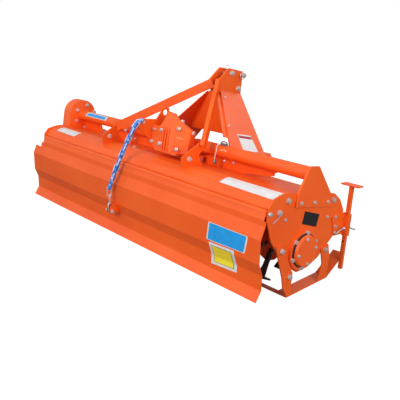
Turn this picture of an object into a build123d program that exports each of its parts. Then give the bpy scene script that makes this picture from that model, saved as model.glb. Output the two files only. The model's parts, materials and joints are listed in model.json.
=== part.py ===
"""Rotary tiller for a tractor, about 2.5 m wide, with side gear drive.

Frame: +X to the right seen from behind, +Y forward (direction of travel), +Z up, ground at Z = 0.
The origin is on the ground below the middle of the bounding box. All sizes are millimetres.
Outlines in the side view are written as (y, z) pairs: y from the rotor axis, z above the ground.
"""

from build123d import *
import os
from math import cos, hypot, radians, sin

os.makedirs("parts", exist_ok=True)

# ---------------------------------------------------------------- driving dimensions
X_RIGHT = 1237.0            # outer face of the right side plate
Y_ROTOR = -38.8             # rotor axis, measured in the frame
SIDE_SPAN = 2440.0          # over the outer faces of the two side plates
PLATE_T = 10.0              # side plates
SHEET_T = 5.0               # deck and tail board
PITCH = 12.5                # nose-down pitch of the body on its skids, degrees

ROTOR_Z = 257.0             # rotor axis above the ground
TUBE_Y = 70.0               # main beam tube axis, forward of the rotor
TUBE_Z = 685.0
TUBE_R = 40.0
TUBE_WALL = 6.0
MAST_X = -1010.0            # hitch centre, measured from the right side plate
FIT = 0.05                  # running fit of pins and shafts, on the radius

X_LEFT = X_RIGHT - SIDE_SPAN            # outer face of the left side plate
X_HITCH = X_RIGHT + MAST_X
ROTOR_AXIS = (Y_ROTOR, ROTOR_Z)
TUBE_AXIS = (Y_ROTOR + TUBE_Y, TUBE_Z)


def side(points):
    """Side-view points, y from the rotor axis, moved to the frame."""
    return [(Y_ROTOR + y, z) for y, z in points]


def band(points, thickness):
    """Closed outline of a bent sheet: the given line is one face, the other is offset and mitred."""
    inner = []
    last = len(points) - 1
    for i, (y, z) in enumerate(points):
        normals = []
        for j in (i - 1, i):
            if 0 <= j < last:
                (y0, z0), (y1, z1) = points[j], points[j + 1]
                length = hypot(y1 - y0, z1 - z0)
                normals.append(((z1 - z0) / length, (y0 - y1) / length))
        ny = sum(n[0] for n in normals) / len(normals)
        nz = sum(n[1] for n in normals) / len(normals)
        scale = thickness / (ny * ny + nz * nz)
        inner.append((y + ny * scale, z + nz * scale))
    return list(points) + inner[::-1]


# ---------------------------------------------------------------- side plates
BEARING_R = 62.0            # opening for the rotor bearing
HINGE = (-280.0, 540.0)     # tail board hinge axis, (y, z)
HINGE_R = 6.0
plate_outline = [
    (-302, 490), (-292, 575), (-255, 615), (-190, 627), (-140, 627), (285, 528), (343, 478), (378, 412),
    (391, 352), (300, 262), (231, 216), (150, 160), (60, 130), (-40, 128), (-126, 190), (-215, 300),
    (-270, 384),
]
for plate_name, x_inner in (("right_side_plate", X_RIGHT - PLATE_T), ("left_side_plate", X_LEFT)):
    with BuildPart() as side_plate:
        with BuildSketch(Plane.YZ.offset(x_inner)):
            Polygon(*side(plate_outline), align=None)
            with Locations(side([HINGE])[0]):
                Circle(HINGE_R, mode=Mode.SUBTRACT)
            with Locations(ROTOR_AXIS):
                Circle(BEARING_R, mode=Mode.SUBTRACT)
        extrude(amount=PLATE_T)
    side_plate.part.label = plate_name
    export_step(side_plate.part, f"parts/{plate_name}.step")

support_outline = [(-85, 533), (243, 460), (228, 547), (107, 728), (33, 741), (-66, 606)]
with BuildPart() as tube_support:
    with BuildSketch(Plane.YZ.offset(X_RIGHT)):
        Polygon(*side(support_outline), align=None)
    extrude(amount=PLATE_T)
tube_support.part.label = "tube_support"
export_step(tube_support.part, "parts/tube_support.step")

# ---------------------------------------------------------------- deck over the rotor
deck_line = [(372, 415), (340, 474), (285, 522), (-140, 620), (-190, 618), (-248, 600), (-277, 569)]
baffle = [(-254, 515), (-249, 515), (-249, 590), (-254, 590)]
with BuildPart() as deck:
    with BuildSketch(Plane.YZ.offset(X_LEFT + PLATE_T)):
        Polygon(*side(band(deck_line, -SHEET_T)), align=None)
        Polygon(*side(baffle), align=None)
    extrude(amount=SIDE_SPAN - 2 * PLATE_T)
deck.part.label = "deck"
export_step(deck.part, "parts/deck.step")

# ---------------------------------------------------------------- side gear drive on the left
CASE_T = 106.0
COVER_T = 12.0
COVER_IN = 12.0             # cover's edge inside the case's edge
SOCKET_DEPTH = 50.0         # recess for the rotor's stub
CASE_TOP = (Y_ROTOR + 80.0, TUBE_Z)
CASE_TOP_R = 120.0
CASE_LOW_R = 132.0
X_CASE = X_LEFT                          # inner face of the case, on the left side plate
X_COVER = X_CASE - CASE_T
with BuildPart() as side_gear_case:
    with BuildSketch(Plane.YZ.offset(X_COVER)):
        with Locations(CASE_TOP):
            Circle(CASE_TOP_R)
        with Locations(ROTOR_AXIS):
            Circle(CASE_LOW_R)
        make_hull()
    extrude(amount=CASE_T)
    with BuildSketch(Plane.YZ.offset(X_CASE)):
        with Locations(ROTOR_AXIS):
            Circle(BEARING_R)
    extrude(amount=-SOCKET_DEPTH, mode=Mode.SUBTRACT)
side_gear_case.part.label = "side_gear_case"
export_step(side_gear_case.part, "parts/side_gear_case.step")

with BuildPart() as side_gear_cover:
    with BuildSketch(Plane.YZ.offset(X_COVER - COVER_T)):
        with Locations(CASE_TOP):
            Circle(CASE_TOP_R - COVER_IN)
        with Locations(ROTOR_AXIS):
            Circle(CASE_LOW_R - COVER_IN)
        make_hull()
    extrude(amount=COVER_T)
side_gear_cover.part.label = "side_gear_cover"
export_step(side_gear_cover.part, "parts/side_gear_cover.step")

# ---------------------------------------------------------------- beam tubes
TUBE_RIGHT_END = 40.0       # the tubes stop here in the gearbox, measured from the hitch centre
TUBE_LEFT_END = -190.0
for tube_name, x_from, x_to in (
    ("right_beam_tube", X_HITCH + TUBE_RIGHT_END, X_RIGHT),
    ("left_beam_tube", X_CASE, X_HITCH + TUBE_LEFT_END),
):
    with BuildPart() as beam_tube:
        with BuildSketch(Plane.YZ.offset(x_from)):
            with Locations(TUBE_AXIS):
                Circle(TUBE_R)
                Circle(TUBE_R - TUBE_WALL, mode=Mode.SUBTRACT)
        extrude(amount=x_to - x_from)
    beam_tube.part.label = tube_name
    export_step(beam_tube.part, f"parts/{tube_name}.step")

# ---------------------------------------------------------------- main gearbox and input shaft
# From here on the body frame is used: x from the hitch centre, y along the pitched body, z square to it.
# Its origin is on the beam tube's axis.
body_up = Vector(0, sin(radians(PITCH)), cos(radians(PITCH)))
body = Plane(origin=(X_HITCH, *TUBE_AXIS), x_dir=(1, 0, 0), z_dir=body_up)


def across(x):
    """Plane square to X at x from the hitch centre, with body y and body z as its axes."""
    return Plane(origin=body.from_local_coords(Vector(x, 0, 0)), x_dir=body.y_dir, z_dir=(1, 0, 0))


LIFT_X = -214.0                     # left face of the lifting plate, which closes the left side housing
LIFT_T = 10.0
BOX_LOW = -64.0                     # underside of the casting above its base flange
BOX_SHOULDER = 84.0                 # where the roof starts
BOX_LEFT = LIFT_X + LIFT_T
BASE_T = 14.0
PEDESTAL_Z = -108.0                 # on the deck
BOX_SECTION = [(BOX_LEFT, -200), (50, -200), (112, -138), (112, -92), (60, -46), (BOX_LEFT, -46)]
COLUMN_SECTION = [(-84, -200), (-60, -216), (8, -216), (30, -200)]
# height of each roof section and its corners; an edge runs the same way in each, so the roof's faces are flat
roof_sections = (
    (BOX_SHOULDER, [(-125, -200), (45, -200), (112, -138), (112, -92), (50, -50), (-125, -50)]),
    (145.0, [(-95, -188), (-8, -188), (20, -162), (20, -155), (-40, -114.4), (-95, -114.4)]),
    (182.0, [(-98, -168), (-70, -168), (-52.7, -152), (-52.7, -141), (-73.4, -127), (-98, -127)]),
)
BASE_SECTION = [(-150, -206), (50, -214), (72, -200), (72, -150), (112, -110), (112, 20), (-150, 20)]
PEDESTAL_SECTION = [(-120, -85), (100, -85), (100, 0), (-120, 0)]
# the casting's lower left corner is cut away below this line, (x, z)
LOW_CUT = [(BOX_LEFT - 1, -10), (-190, -40), (-168, -58), (-146, BOX_LOW), (BOX_LEFT - 1, BOX_LOW)]
CUT_REAR = -201.0
CUT_FRONT = -41.0
RIBS = (-52.0, -26.0, 0.0)          # x of the ribs down the rear of the casting
RIB_T = 8.0
RIB_OUT = 10.0
NECK_TOP = 36.0                     # the casting's neck from the rear box to the tube's axis
NECK_X = 60.0
NECK_REAR = -60.0
SIDE_REAR = -85.0                   # the left side housing, rear and front
SIDE_FRONT = 25.0
SHAFT_R = 17.5                      # 1 3/8 inch input shaft
SHAFT_Z = -40.0                     # input shaft below the beam tube's axis
NOSE_R = 45.0
NOSE_Y = 30.0
NOSE_L = 204.0
BEARING_DEPTH = 60.0
nose_plane = Plane(
    origin=body.from_local_coords(Vector(0, NOSE_Y, SHAFT_Z)),
    x_dir=(1, 0, 0),
    z_dir=body.y_dir,
)
cut_plane = Plane(
    origin=body.from_local_coords(Vector(0, CUT_REAR, 0)),
    x_dir=(1, 0, 0),
    z_dir=-body.y_dir,
)
with BuildPart() as gearbox:
    with BuildSketch(body.offset(PEDESTAL_Z)):
        Polygon(*PEDESTAL_SECTION, align=None)
    extrude(amount=BOX_LOW - PEDESTAL_Z)
    with BuildSketch(body.offset(BOX_LOW - BASE_T)):
        Polygon(*BASE_SECTION, align=None)
    extrude(amount=BASE_T)
    with BuildSketch(body.offset(BOX_LOW)):
        Polygon(*BOX_SECTION, align=None)
    extrude(amount=BOX_SHOULDER - BOX_LOW)
    with BuildSketch(cut_plane):
        Polygon(*LOW_CUT, align=None)
    extrude(amount=CUT_REAR - CUT_FRONT, mode=Mode.SUBTRACT)
    for low, high in zip(roof_sections, roof_sections[1:]):
        for z_section, corners in (low, high):
            with BuildSketch(body.offset(z_section)):
                Polygon(*corners, align=None)
        loft(ruled=True)
    with BuildSketch(body.offset(BOX_LOW)):
        Polygon(*COLUMN_SECTION, align=None)
    extrude(amount=BOX_SHOULDER - BOX_LOW)
    for x_rib in RIBS:
        with BuildSketch(body.offset(BOX_LOW)):
            with Locations((x_rib, COLUMN_SECTION[1][1] - RIB_OUT / 2)):
                Rectangle(RIB_T, RIB_OUT)
        extrude(amount=BOX_SHOULDER - BOX_LOW - RIB_OUT)
    with BuildSketch(body.offset(BOX_LOW)):
        Polygon((-NECK_X, NECK_REAR), (NECK_X, NECK_REAR), (NECK_X, 0), (-NECK_X, 0), align=None)
    extrude(amount=NECK_TOP - BOX_LOW)
    with BuildSketch(body.offset(BOX_LOW)):
        Polygon(
            (BOX_LEFT, SIDE_REAR), (-NECK_X, SIDE_REAR), (-NECK_X, SIDE_FRONT), (BOX_LEFT, SIDE_FRONT),
            align=None,
        )
    extrude(amount=NECK_TOP - BOX_LOW)
    with BuildSketch(nose_plane.offset(-NOSE_Y)):
        Circle(NOSE_R)
    extrude(amount=NOSE_L + NOSE_Y)
    with BuildSketch(nose_plane.offset(NOSE_L)):
        Circle(SHAFT_R + FIT)
    extrude(amount=-BEARING_DEPTH, mode=Mode.SUBTRACT)
    with BuildSketch(Plane.YZ.offset(X_HITCH + TUBE_RIGHT_END)):
        with Locations(TUBE_AXIS):
            Circle(TUBE_R)
    extrude(amount=2 * NECK_X, mode=Mode.SUBTRACT)
    with BuildSketch(Plane.YZ.offset(X_HITCH + TUBE_LEFT_END)):
        with Locations(TUBE_AXIS):
            Circle(TUBE_R)
    extrude(amount=LIFT_X - TUBE_LEFT_END, mode=Mode.SUBTRACT)
gearbox.part.label = "gearbox"
export_step(gearbox.part, "parts/gearbox.step")

SHAFT_OUT = 110.0                   # splined end beyond the nose of the gearbox
SHOULDER_R = 24.0
SHOULDER_L = 12.0
SHAFT_GAP = 2.0                     # the shaft's shoulder stands off the nose
with BuildPart() as input_shaft:
    with BuildSketch(nose_plane.offset(NOSE_L - BEARING_DEPTH + SHAFT_GAP)):
        Circle(SHAFT_R)
    extrude(amount=BEARING_DEPTH)
    with BuildSketch(nose_plane.offset(NOSE_L + SHAFT_GAP)):
        Circle(SHOULDER_R)
    extrude(amount=SHOULDER_L)
    with BuildSketch(nose_plane.offset(NOSE_L + SHAFT_GAP + SHOULDER_L)):
        Circle(SHAFT_R)
    extrude(amount=SHAFT_OUT)
input_shaft.part.label = "input_shaft"
export_step(input_shaft.part, "parts/input_shaft.step")

# ---------------------------------------------------------------- lifting plate that also carries the chain
LIFT_HOLE = (-105.0, 172.0, 20.0)   # y, z, radius
CHAIN_HOLE = (-286.0, 92.0, 9.0)
lift_outline = [
    (-70, -60), (-219, -11), (-312, 44), (-318, 70), (-300, 112), (-173, 120), (-148, 162), (-136, 196),
    (-112, 208), (-78, 203), (-76, 184), (0, 170), (20, 110), (60, 60), (64, -40), (0, -68),
]
with BuildPart() as lifting_plate:
    with BuildSketch(across(LIFT_X)):
        Polygon(*lift_outline, align=None)
        Circle(TUBE_R, mode=Mode.SUBTRACT)
        for y, z, radius in (LIFT_HOLE, CHAIN_HOLE):
            with Locations((y, z)):
                Circle(radius, mode=Mode.SUBTRACT)
    extrude(amount=LIFT_T)
lifting_plate.part.label = "lifting_plate"
export_step(lifting_plate.part, "parts/lifting_plate.step")

# ---------------------------------------------------------------- mast
HEAD_X = 45.0               # half spread over the mast head
CREASE_Z = 375.0            # where the leaning legs turn into the upright head
LEAN = 0.849                # outward run of a leg for each mm down
MAST_T = 10.0
LEG_LAP = 7.0               # the leg runs this far into the head
SEAT_Z = 652.0              # the legs stand on the hitch brackets here, above the ground
stretch = hypot(1, LEAN)
mast_leg = [(137, CREASE_Z + LEG_LAP), (76, 204), (18, 42), (60, -10), (333, -60), (333, CREASE_Z + LEG_LAP)]
mast_head = [(97, CREASE_Z - 3), (92, 430), (180, 530), (318, 527), (328, 423), (331, CREASE_Z)]
TOP_PIN = (308.0, 501.0)    # top link pin, (y, z)
TOP_PIN_R = 12.7
CROSS_PINS = ((214.0, 500.0, 8.0), (298.0, 407.0, 8.0))   # y, z, radius of the bolts through the head
PIN_OUT = 14.0
CUT_X = 500.0               # half width of the cuts at the foot of the mast
CUT_Z = 300.0


def leg_face(x_sign, depth):
    """Outer face of a leaning leg, moved inward by depth."""
    origin = body.from_local_coords(Vector(x_sign * HEAD_X, 0, CREASE_Z))
    outward = Vector(x_sign, 0, 0) + body_up * LEAN
    return Plane(origin=origin, x_dir=body.y_dir, z_dir=outward).offset(-depth)


def leg_points(points, x_sign):
    """(body y, body z) points laid out on a leaning leg's face, whose v axis points up or down."""
    return [(y, x_sign * (z - CREASE_Z) * stretch) for y, z in points]


mast_plates = {}
for plate_name, x_sign in (("right_mast_plate", 1), ("left_mast_plate", -1)):
    with BuildPart() as mast_plate:
        with BuildSketch(leg_face(x_sign, 0)):
            Polygon(*leg_points(mast_leg, x_sign), align=None)
        extrude(amount=-MAST_T)
        with BuildSketch(Plane.XY.offset(SEAT_Z)):
            with Locations((X_HITCH, Y_ROTOR + TUBE_Y)):
                Rectangle(2 * CUT_X, 2 * CUT_X)
        extrude(amount=-CUT_Z, mode=Mode.SUBTRACT)
        with BuildSketch(across(-CUT_X)):
            Circle(TUBE_R)
        extrude(amount=2 * CUT_X, mode=Mode.SUBTRACT)
        with BuildSketch(across(x_sign * HEAD_X)):
            Polygon(*mast_head, align=None)
            for y, z, radius in ((*TOP_PIN, TOP_PIN_R), *CROSS_PINS):
                with Locations((y, z)):
                    Circle(radius, mode=Mode.SUBTRACT)
        extrude(amount=-x_sign * MAST_T)
    mast_plates[x_sign] = mast_plate.part
    mast_plate.part.label = plate_name
    export_step(mast_plate.part, f"parts/{plate_name}.step")

WEB_T = 5.0
WEB_TOP = (113.0, 366.0)    # upper edge of the sheet between the legs, (y, z)
WEB_LOW = (196.0, 92.0)
flange_outline = [(97, 366), (1, 96), (196, 92), (113, 366)]
web_rise = hypot(WEB_LOW[0] - WEB_TOP[0], WEB_TOP[1] - WEB_LOW[1])
web_plane = Plane(
    origin=body.from_local_coords(Vector(0, *WEB_TOP)),
    x_dir=(1, 0, 0),
    z_dir=body.y_dir * (WEB_TOP[1] - WEB_LOW[1]) + body_up * (WEB_LOW[0] - WEB_TOP[0]),
)
wall = MAST_T * stretch + WEB_T
half_top = HEAD_X + LEAN * (CREASE_Z - WEB_TOP[1]) - wall
half_low = HEAD_X + LEAN * (CREASE_Z - WEB_LOW[1]) - wall
with BuildPart() as mast_web:
    with BuildSketch(web_plane):
        Polygon(
            (-half_top, 0), (half_top, 0), (half_low, web_rise), (-half_low, web_rise), align=None,
        )
    extrude(amount=-WEB_T)
    for x_sign in (-1, 1):
        with BuildSketch(leg_face(x_sign, MAST_T)):
            Polygon(*leg_points(flange_outline, x_sign), align=None)
        extrude(amount=-WEB_T)
mast_web.part.label = "mast_web"
export_step(mast_web.part, "parts/mast_web.step")

for i, (y, z, radius) in enumerate(CROSS_PINS, start=1):
    with BuildPart() as mast_bolt:
        with BuildSketch(across(-HEAD_X - PIN_OUT)):
            with Locations((y, z)):
                Circle(radius)
        extrude(amount=2 * (HEAD_X + PIN_OUT))
    mast_bolt.part.label = f"mast_bolt_{i}"
    export_step(mast_bolt.part, f"parts/mast_bolt_{i}.step")

with BuildPart() as top_link_pin:
    with BuildSketch(across(-HEAD_X - 2 * PIN_OUT)):
        with Locations(TOP_PIN):
            Circle(TOP_PIN_R)
    extrude(amount=2 * (HEAD_X + 2 * PIN_OUT))
top_link_pin.part.label = "top_link_pin"
export_step(top_link_pin.part, "parts/top_link_pin.step")

# ---------------------------------------------------------------- lower hitch
HITCH_SPREAD = 412.0        # half of the 825 mm between lower link pins
LOWER_PIN = (400.0, 545.0)  # lower link pins, (y, z)
LOWER_PIN_R = 14.0          # free end for the tractor's lower link
BALL_PIN_L = 80.0
PIN_SHANK_R = 16.0          # inside the bracket
EAR_X = 30.0                # the bracket's two ears are this far from its middle
EAR_T = 12.0
EAR_OUT = EAR_X + EAR_T / 2
SEAT_X = 44.0               # half width of the seat over the ears
PIN_HEAD = 14.0             # the pin's inner end outside the ear
hitch_outline = [
    (72, 640), (72, 721), (108, 712), (128, 640), (345, 640), (450, 575), (440, 505), (350, 500), (200, 590),
]
seat_outline = [(128, 640), (345, 640), (345, SEAT_Z), (128, SEAT_Z)]
for sidename, x_sign in (("right", 1), ("left", -1)):
    with BuildPart() as hitch_bracket:
        for dx in (-EAR_X, EAR_X):
            with BuildSketch(Plane.YZ.offset(X_HITCH + x_sign * HITCH_SPREAD + dx - EAR_T / 2)):
                Polygon(*side(hitch_outline), align=None)
                with Locations(TUBE_AXIS):
                    Circle(TUBE_R, mode=Mode.SUBTRACT)
                with Locations(side([LOWER_PIN])[0]):
                    Circle(PIN_SHANK_R, mode=Mode.SUBTRACT)
            extrude(amount=EAR_T)
        with BuildSketch(Plane.YZ.offset(X_HITCH + x_sign * HITCH_SPREAD - SEAT_X)):
            Polygon(*side(seat_outline), align=None)
        extrude(amount=2 * SEAT_X)
    hitch_bracket.part.label = f"{sidename}_hitch_bracket"
    export_step(hitch_bracket.part, f"parts/{sidename}_hitch_bracket.step")
    with BuildPart() as lower_pin:
        with BuildSketch(Plane.YZ.offset(X_HITCH + x_sign * (HITCH_SPREAD - EAR_OUT - PIN_HEAD))):
            with Locations(side([LOWER_PIN])[0]):
                Circle(PIN_SHANK_R)
        extrude(amount=x_sign * (2 * EAR_OUT + PIN_HEAD))
        with BuildSketch(Plane.YZ.offset(X_HITCH + x_sign * (HITCH_SPREAD + EAR_OUT))):
            with Locations(side([LOWER_PIN])[0]):
                Circle(LOWER_PIN_R)
        extrude(amount=x_sign * BALL_PIN_L)
    lower_pin.part.label = f"{sidename}_lower_link_pin"
    export_step(lower_pin.part, f"parts/{sidename}_lower_link_pin.step")

# ---------------------------------------------------------------- braces from the mast to the deck
BRACE_W = 62.0              # height of the channel's web
BRACE_D = 26.0              # depth over its lips, which point outward
BRACE_T = 5.0
BRACE_TOP = (86.0, 397.0)   # middle of the upper end, in the body frame
BRACE_LAP = 40.0            # drawn past the mast head, which trims it
FOOT_T = 10.0
foot_outline = [
    (-226, 608), (-232, 682), (-85, 753), (-47, 715), (-92, 676), (-60, 602.5), (-140, 621), (-190, 619),
]
# name, side of the mast, x of the foot from the right side plate, y and z of the brace's lower end
brace_table = (
    ("right_brace", 1, -775.0, -75.0, 722.0),
    ("left_brace", -1, -1660.0, -110.0, 722.0),
)
half_w = BRACE_W / 2
for brace_name, x_sign, x_foot, y_low, z_low in brace_table:
    with BuildPart() as brace_foot:
        with BuildSketch(Plane.YZ.offset(X_RIGHT + x_foot - FOOT_T / 2)):
            Polygon(*side(foot_outline), align=None)
        extrude(amount=FOOT_T)
    brace_foot.part.label = f"{brace_name}_foot"
    export_step(brace_foot.part, f"parts/{brace_name}_foot.step")
    top = body.from_local_coords(Vector(x_sign * (HEAD_X - 4), *BRACE_TOP))
    low = Vector(X_RIGHT + x_foot + x_sign * FOOT_T / 2, Y_ROTOR + y_low, z_low)
    along = (low - top).normalized()
    outward = Vector(0, 0, 1).cross(along) * x_sign
    if outward.X * x_sign < 0:
        outward = outward * -1
    top = top - along * BRACE_LAP
    brace_plane = Plane(origin=top, x_dir=outward, z_dir=along)
    with BuildPart() as brace:
        with BuildSketch(brace_plane):
            Polygon(
                (0, -half_w), (BRACE_D, -half_w), (BRACE_D, BRACE_T - half_w), (BRACE_T, BRACE_T - half_w),
                (BRACE_T, half_w - BRACE_T), (BRACE_D, half_w - BRACE_T), (BRACE_D, half_w), (0, half_w),
                align=None,
            )
        extrude(amount=(low - top).length)
        add(brace_foot.part, mode=Mode.SUBTRACT)
        add(mast_plates[x_sign], mode=Mode.SUBTRACT)
        add(mast_web.part, mode=Mode.SUBTRACT)
    brace_body = brace.part.solids().sort_by(SortBy.VOLUME)[-1]
    brace_body.label = brace_name
    export_step(brace_body, f"parts/{brace_name}.step")

# ---------------------------------------------------------------- rotor bearing on the right plate
FLANGE_R = 118.0
FLANGE_T = 14.0
BOSS_R = 90.0
BOSS_T = 10.0
HOUSING_IN = 40.0           # behind the side plate's outer face
STUB_R = 30.0               # rotor's stub shaft
COVER_RADII = (95.0, 88.0)  # at the boss and at its outer face
COVER_D = 16.0
X_BOSS = X_RIGHT + FLANGE_T + BOSS_T
with BuildPart() as bearing_housing:
    # start, length and radius of each step along X
    for x_start, length, radius in (
        (X_RIGHT, FLANGE_T, FLANGE_R),
        (X_RIGHT + FLANGE_T, BOSS_T, BOSS_R),
        (X_RIGHT - HOUSING_IN, HOUSING_IN, BEARING_R),
    ):
        with BuildSketch(Plane.YZ.offset(x_start)):
            with Locations(ROTOR_AXIS):
                Circle(radius)
        extrude(amount=length)
    with BuildSketch(Plane.YZ.offset(X_RIGHT - HOUSING_IN)):
        with Locations(ROTOR_AXIS):
            Circle(STUB_R + FIT)
    extrude(amount=HOUSING_IN + BOSS_T, mode=Mode.SUBTRACT)
bearing_housing.part.label = "bearing_housing"
export_step(bearing_housing.part, "parts/bearing_housing.step")

with BuildPart() as bearing_cover:
    for x_face, radius in zip((X_BOSS, X_BOSS + COVER_D), COVER_RADII):
        with BuildSketch(Plane.YZ.offset(x_face)):
            with Locations(ROTOR_AXIS):
                Circle(radius)
    loft()
bearing_cover.part.label = "bearing_cover"
export_step(bearing_cover.part, "parts/bearing_cover.step")

# ---------------------------------------------------------------- rotor
ROTOR_TUBE_R = 44.0
ROTOR_GAP = 60.0            # between the tube's ends and the side plates' outer faces
DISC_R = 133.0              # over the corners of the discs
DISC_SIDES = 12
DISC_T = 10.0
DISCS = 10
X_DISC = X_RIGHT - 200.0
DISC_PITCH = 226.0
DISC_TURN = 20.0            # each disc is turned this far from the last one, degrees
BLADES_PER_DISC = 6
BLADE_T = 9.0
FOOT_X = 55.0
with BuildPart() as rotor_tube:
    with BuildSketch(Plane.YZ.offset(X_LEFT + ROTOR_GAP)):
        with Locations(ROTOR_AXIS):
            Circle(ROTOR_TUBE_R)
    extrude(amount=SIDE_SPAN - 2 * ROTOR_GAP)
    # start and length of the stub in the bearing and of the one in the gear case
    for x_stub, stub_length in ((X_RIGHT - ROTOR_GAP - 1, 60), (X_LEFT + ROTOR_GAP + 1, -100)):
        with BuildSketch(Plane.YZ.offset(x_stub)):
            with Locations(ROTOR_AXIS):
                Circle(STUB_R)
        extrude(amount=stub_length)
    for i in range(DISCS):
        with BuildSketch(Plane.YZ.offset(X_DISC - i * DISC_PITCH)):
            with Locations(ROTOR_AXIS):
                RegularPolygon(DISC_R, DISC_SIDES, rotation=i * DISC_TURN)
        extrude(amount=-DISC_T)
rotor_tube.part.label = "rotor_tube"
export_step(rotor_tube.part, "parts/rotor_tube.step")

# blade in its own plane: (across, out) with out measured from the rotor axis
blade_side = [(-18, 58), (18, 58), (20, 150), (32, 236), (-44, 240), (-44, 229), (-24, 170)]
blade_foot = [(32, 236), (-44, 240), (-44, 230), (30, 226)]
for hand, first, x_sign in (("right", 0, 1), ("left", 1, -1)):
    with BuildPart() as blades:
        for i in range(DISCS):
            x_face = X_DISC - i * DISC_PITCH - (DISC_T if x_sign < 0 else 0)
            for k in range(first, BLADES_PER_DISC, 2):
                turn = radians(k * 360 / BLADES_PER_DISC + i * DISC_TURN)
                out = Vector(0, cos(turn), sin(turn))
                forward = Vector(0, -sin(turn), cos(turn))
                blade_plane = Plane(origin=(x_face, *ROTOR_AXIS), x_dir=forward, z_dir=forward.cross(out))
                reach = 1 if blade_plane.z_dir.X * x_sign > 0 else -1
                with BuildSketch(blade_plane):
                    Polygon(*blade_side, align=None)
                extrude(amount=reach * BLADE_T)
                with BuildSketch(blade_plane):
                    Polygon(*blade_foot, align=None)
                extrude(amount=reach * FOOT_X)
    blades.part.label = f"{hand}_hand_blades"
    export_step(blades.part, f"parts/{hand}_hand_blades.step")

# ---------------------------------------------------------------- tail board
X_TAIL_R = X_RIGHT - 1.0
X_TAIL_L = X_RIGHT - 2540.0
TAIL_TUBE_R = 20.0          # tube along the board's top edge, on the hinge rod
TAIL_GAP = 5.0              # between the tube's ends and the side plates
STEP_Z = 478.0              # the board is wider than the machine on the left below this height
EDGE_Z = 505.0              # the board stays between the side plates above this height
CORNER = 85.0               # width of the cut at the board's upper left corner
# chain lug on the board: two ears with a bolt through them, x from the right side plate
LUG_X = -1345.0
LUG_IN = 16.0               # half the space between the ears
LUG_T = 7.0
LUG_BOLT = (-399.0, 232.0, 8.0)     # y, z, radius
LUG_BOLT_X = 34.0
lug_outline = [(-350, 278), (-380, 280), (-410, 258), (-417, 222), (-396, 205), (-334, 218), (-330, 240)]
tail_line = [
    (-294, 546), (-309, 512), (-314, STEP_Z), (-347, 410), (-352, 275), (-328, 203), (-332, 113), (-374, 54),
]
with BuildPart() as tail_board:
    with BuildSketch(Plane.YZ.offset(X_TAIL_L)):
        Polygon(*side(band(tail_line, SHEET_T)), align=None)
    extrude(amount=X_TAIL_R - X_TAIL_L)
    for x_end, x_inner, z_low in (
        (X_TAIL_L - 1, X_LEFT + PLATE_T + TAIL_GAP, EDGE_Z),
        (X_TAIL_L - 1, X_TAIL_L + CORNER, STEP_Z - 8),
        (X_TAIL_R + 1, X_RIGHT - PLATE_T - TAIL_GAP, EDGE_Z),
    ):
        with BuildSketch(Plane.YZ.offset(x_end)):
            Polygon(*side([(-330, z_low), (-280, z_low), (-280, 550), (-330, 550)]), align=None)
        extrude(amount=x_inner - x_end, mode=Mode.SUBTRACT)
    with BuildSketch(Plane.YZ.offset(X_LEFT + PLATE_T + TAIL_GAP)):
        with Locations(side([HINGE])[0]):
            Circle(TAIL_TUBE_R)
            Circle(HINGE_R + FIT, mode=Mode.SUBTRACT)
    extrude(amount=SIDE_SPAN - 2 * (PLATE_T + TAIL_GAP))
    for x_ear in (LUG_X - LUG_IN - LUG_T, LUG_X + LUG_IN):
        with BuildSketch(Plane.YZ.offset(X_RIGHT + x_ear)):
            Polygon(*side(lug_outline), align=None)
        extrude(amount=LUG_T)
    with BuildSketch(Plane.YZ.offset(X_RIGHT + LUG_X - LUG_BOLT_X)):
        with Locations(side([LUG_BOLT[:2]])[0]):
            Circle(LUG_BOLT[2])
    extrude(amount=2 * LUG_BOLT_X)
tail_board.part.label = "tail_board"
export_step(tail_board.part, "parts/tail_board.step")

# Chain that holds the tail board: x from the right side plate, y from the rotor axis, z above the ground.
HOSE_R = 18.0               # hose over the upper links
HOSE_SIDES = 8
BAR = 9.0                   # thickness of the bare links
LINK_L = 76.0
LINK_W = 36.0
LINK_PITCH = LINK_L - 2 * BAR - 1
LINK_TURNS = (40.0, 115.0, 0.0)     # degrees each link's face is turned from +X towards the rear
LINK_TOP = LUG_BOLT[1] - LUG_BOLT[2] - 0.5 - BAR + LINK_L + 2 * LINK_PITCH
HOSE_LAP = 20.0             # the first bare link is partly in the hose
hose_route = [
    (-1195, -190, 858), (-1195, -232, 846), (-1206, -266, 810), (-1284, -339, 598),
    (LUG_X, LUG_BOLT[0], LINK_TOP - HOSE_LAP),
]


def ring(half_l, half_w):
    """Corners of a link's outline: a long shape whose two ends are cut at their corners."""
    cut = half_w * 0.55
    quarter = [(half_l, half_w - cut), (half_l - cut, half_w)]
    upper = quarter + [(-u, v) for u, v in quarter[::-1]]
    return upper + [(-u, -v) for u, v in upper]


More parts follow.
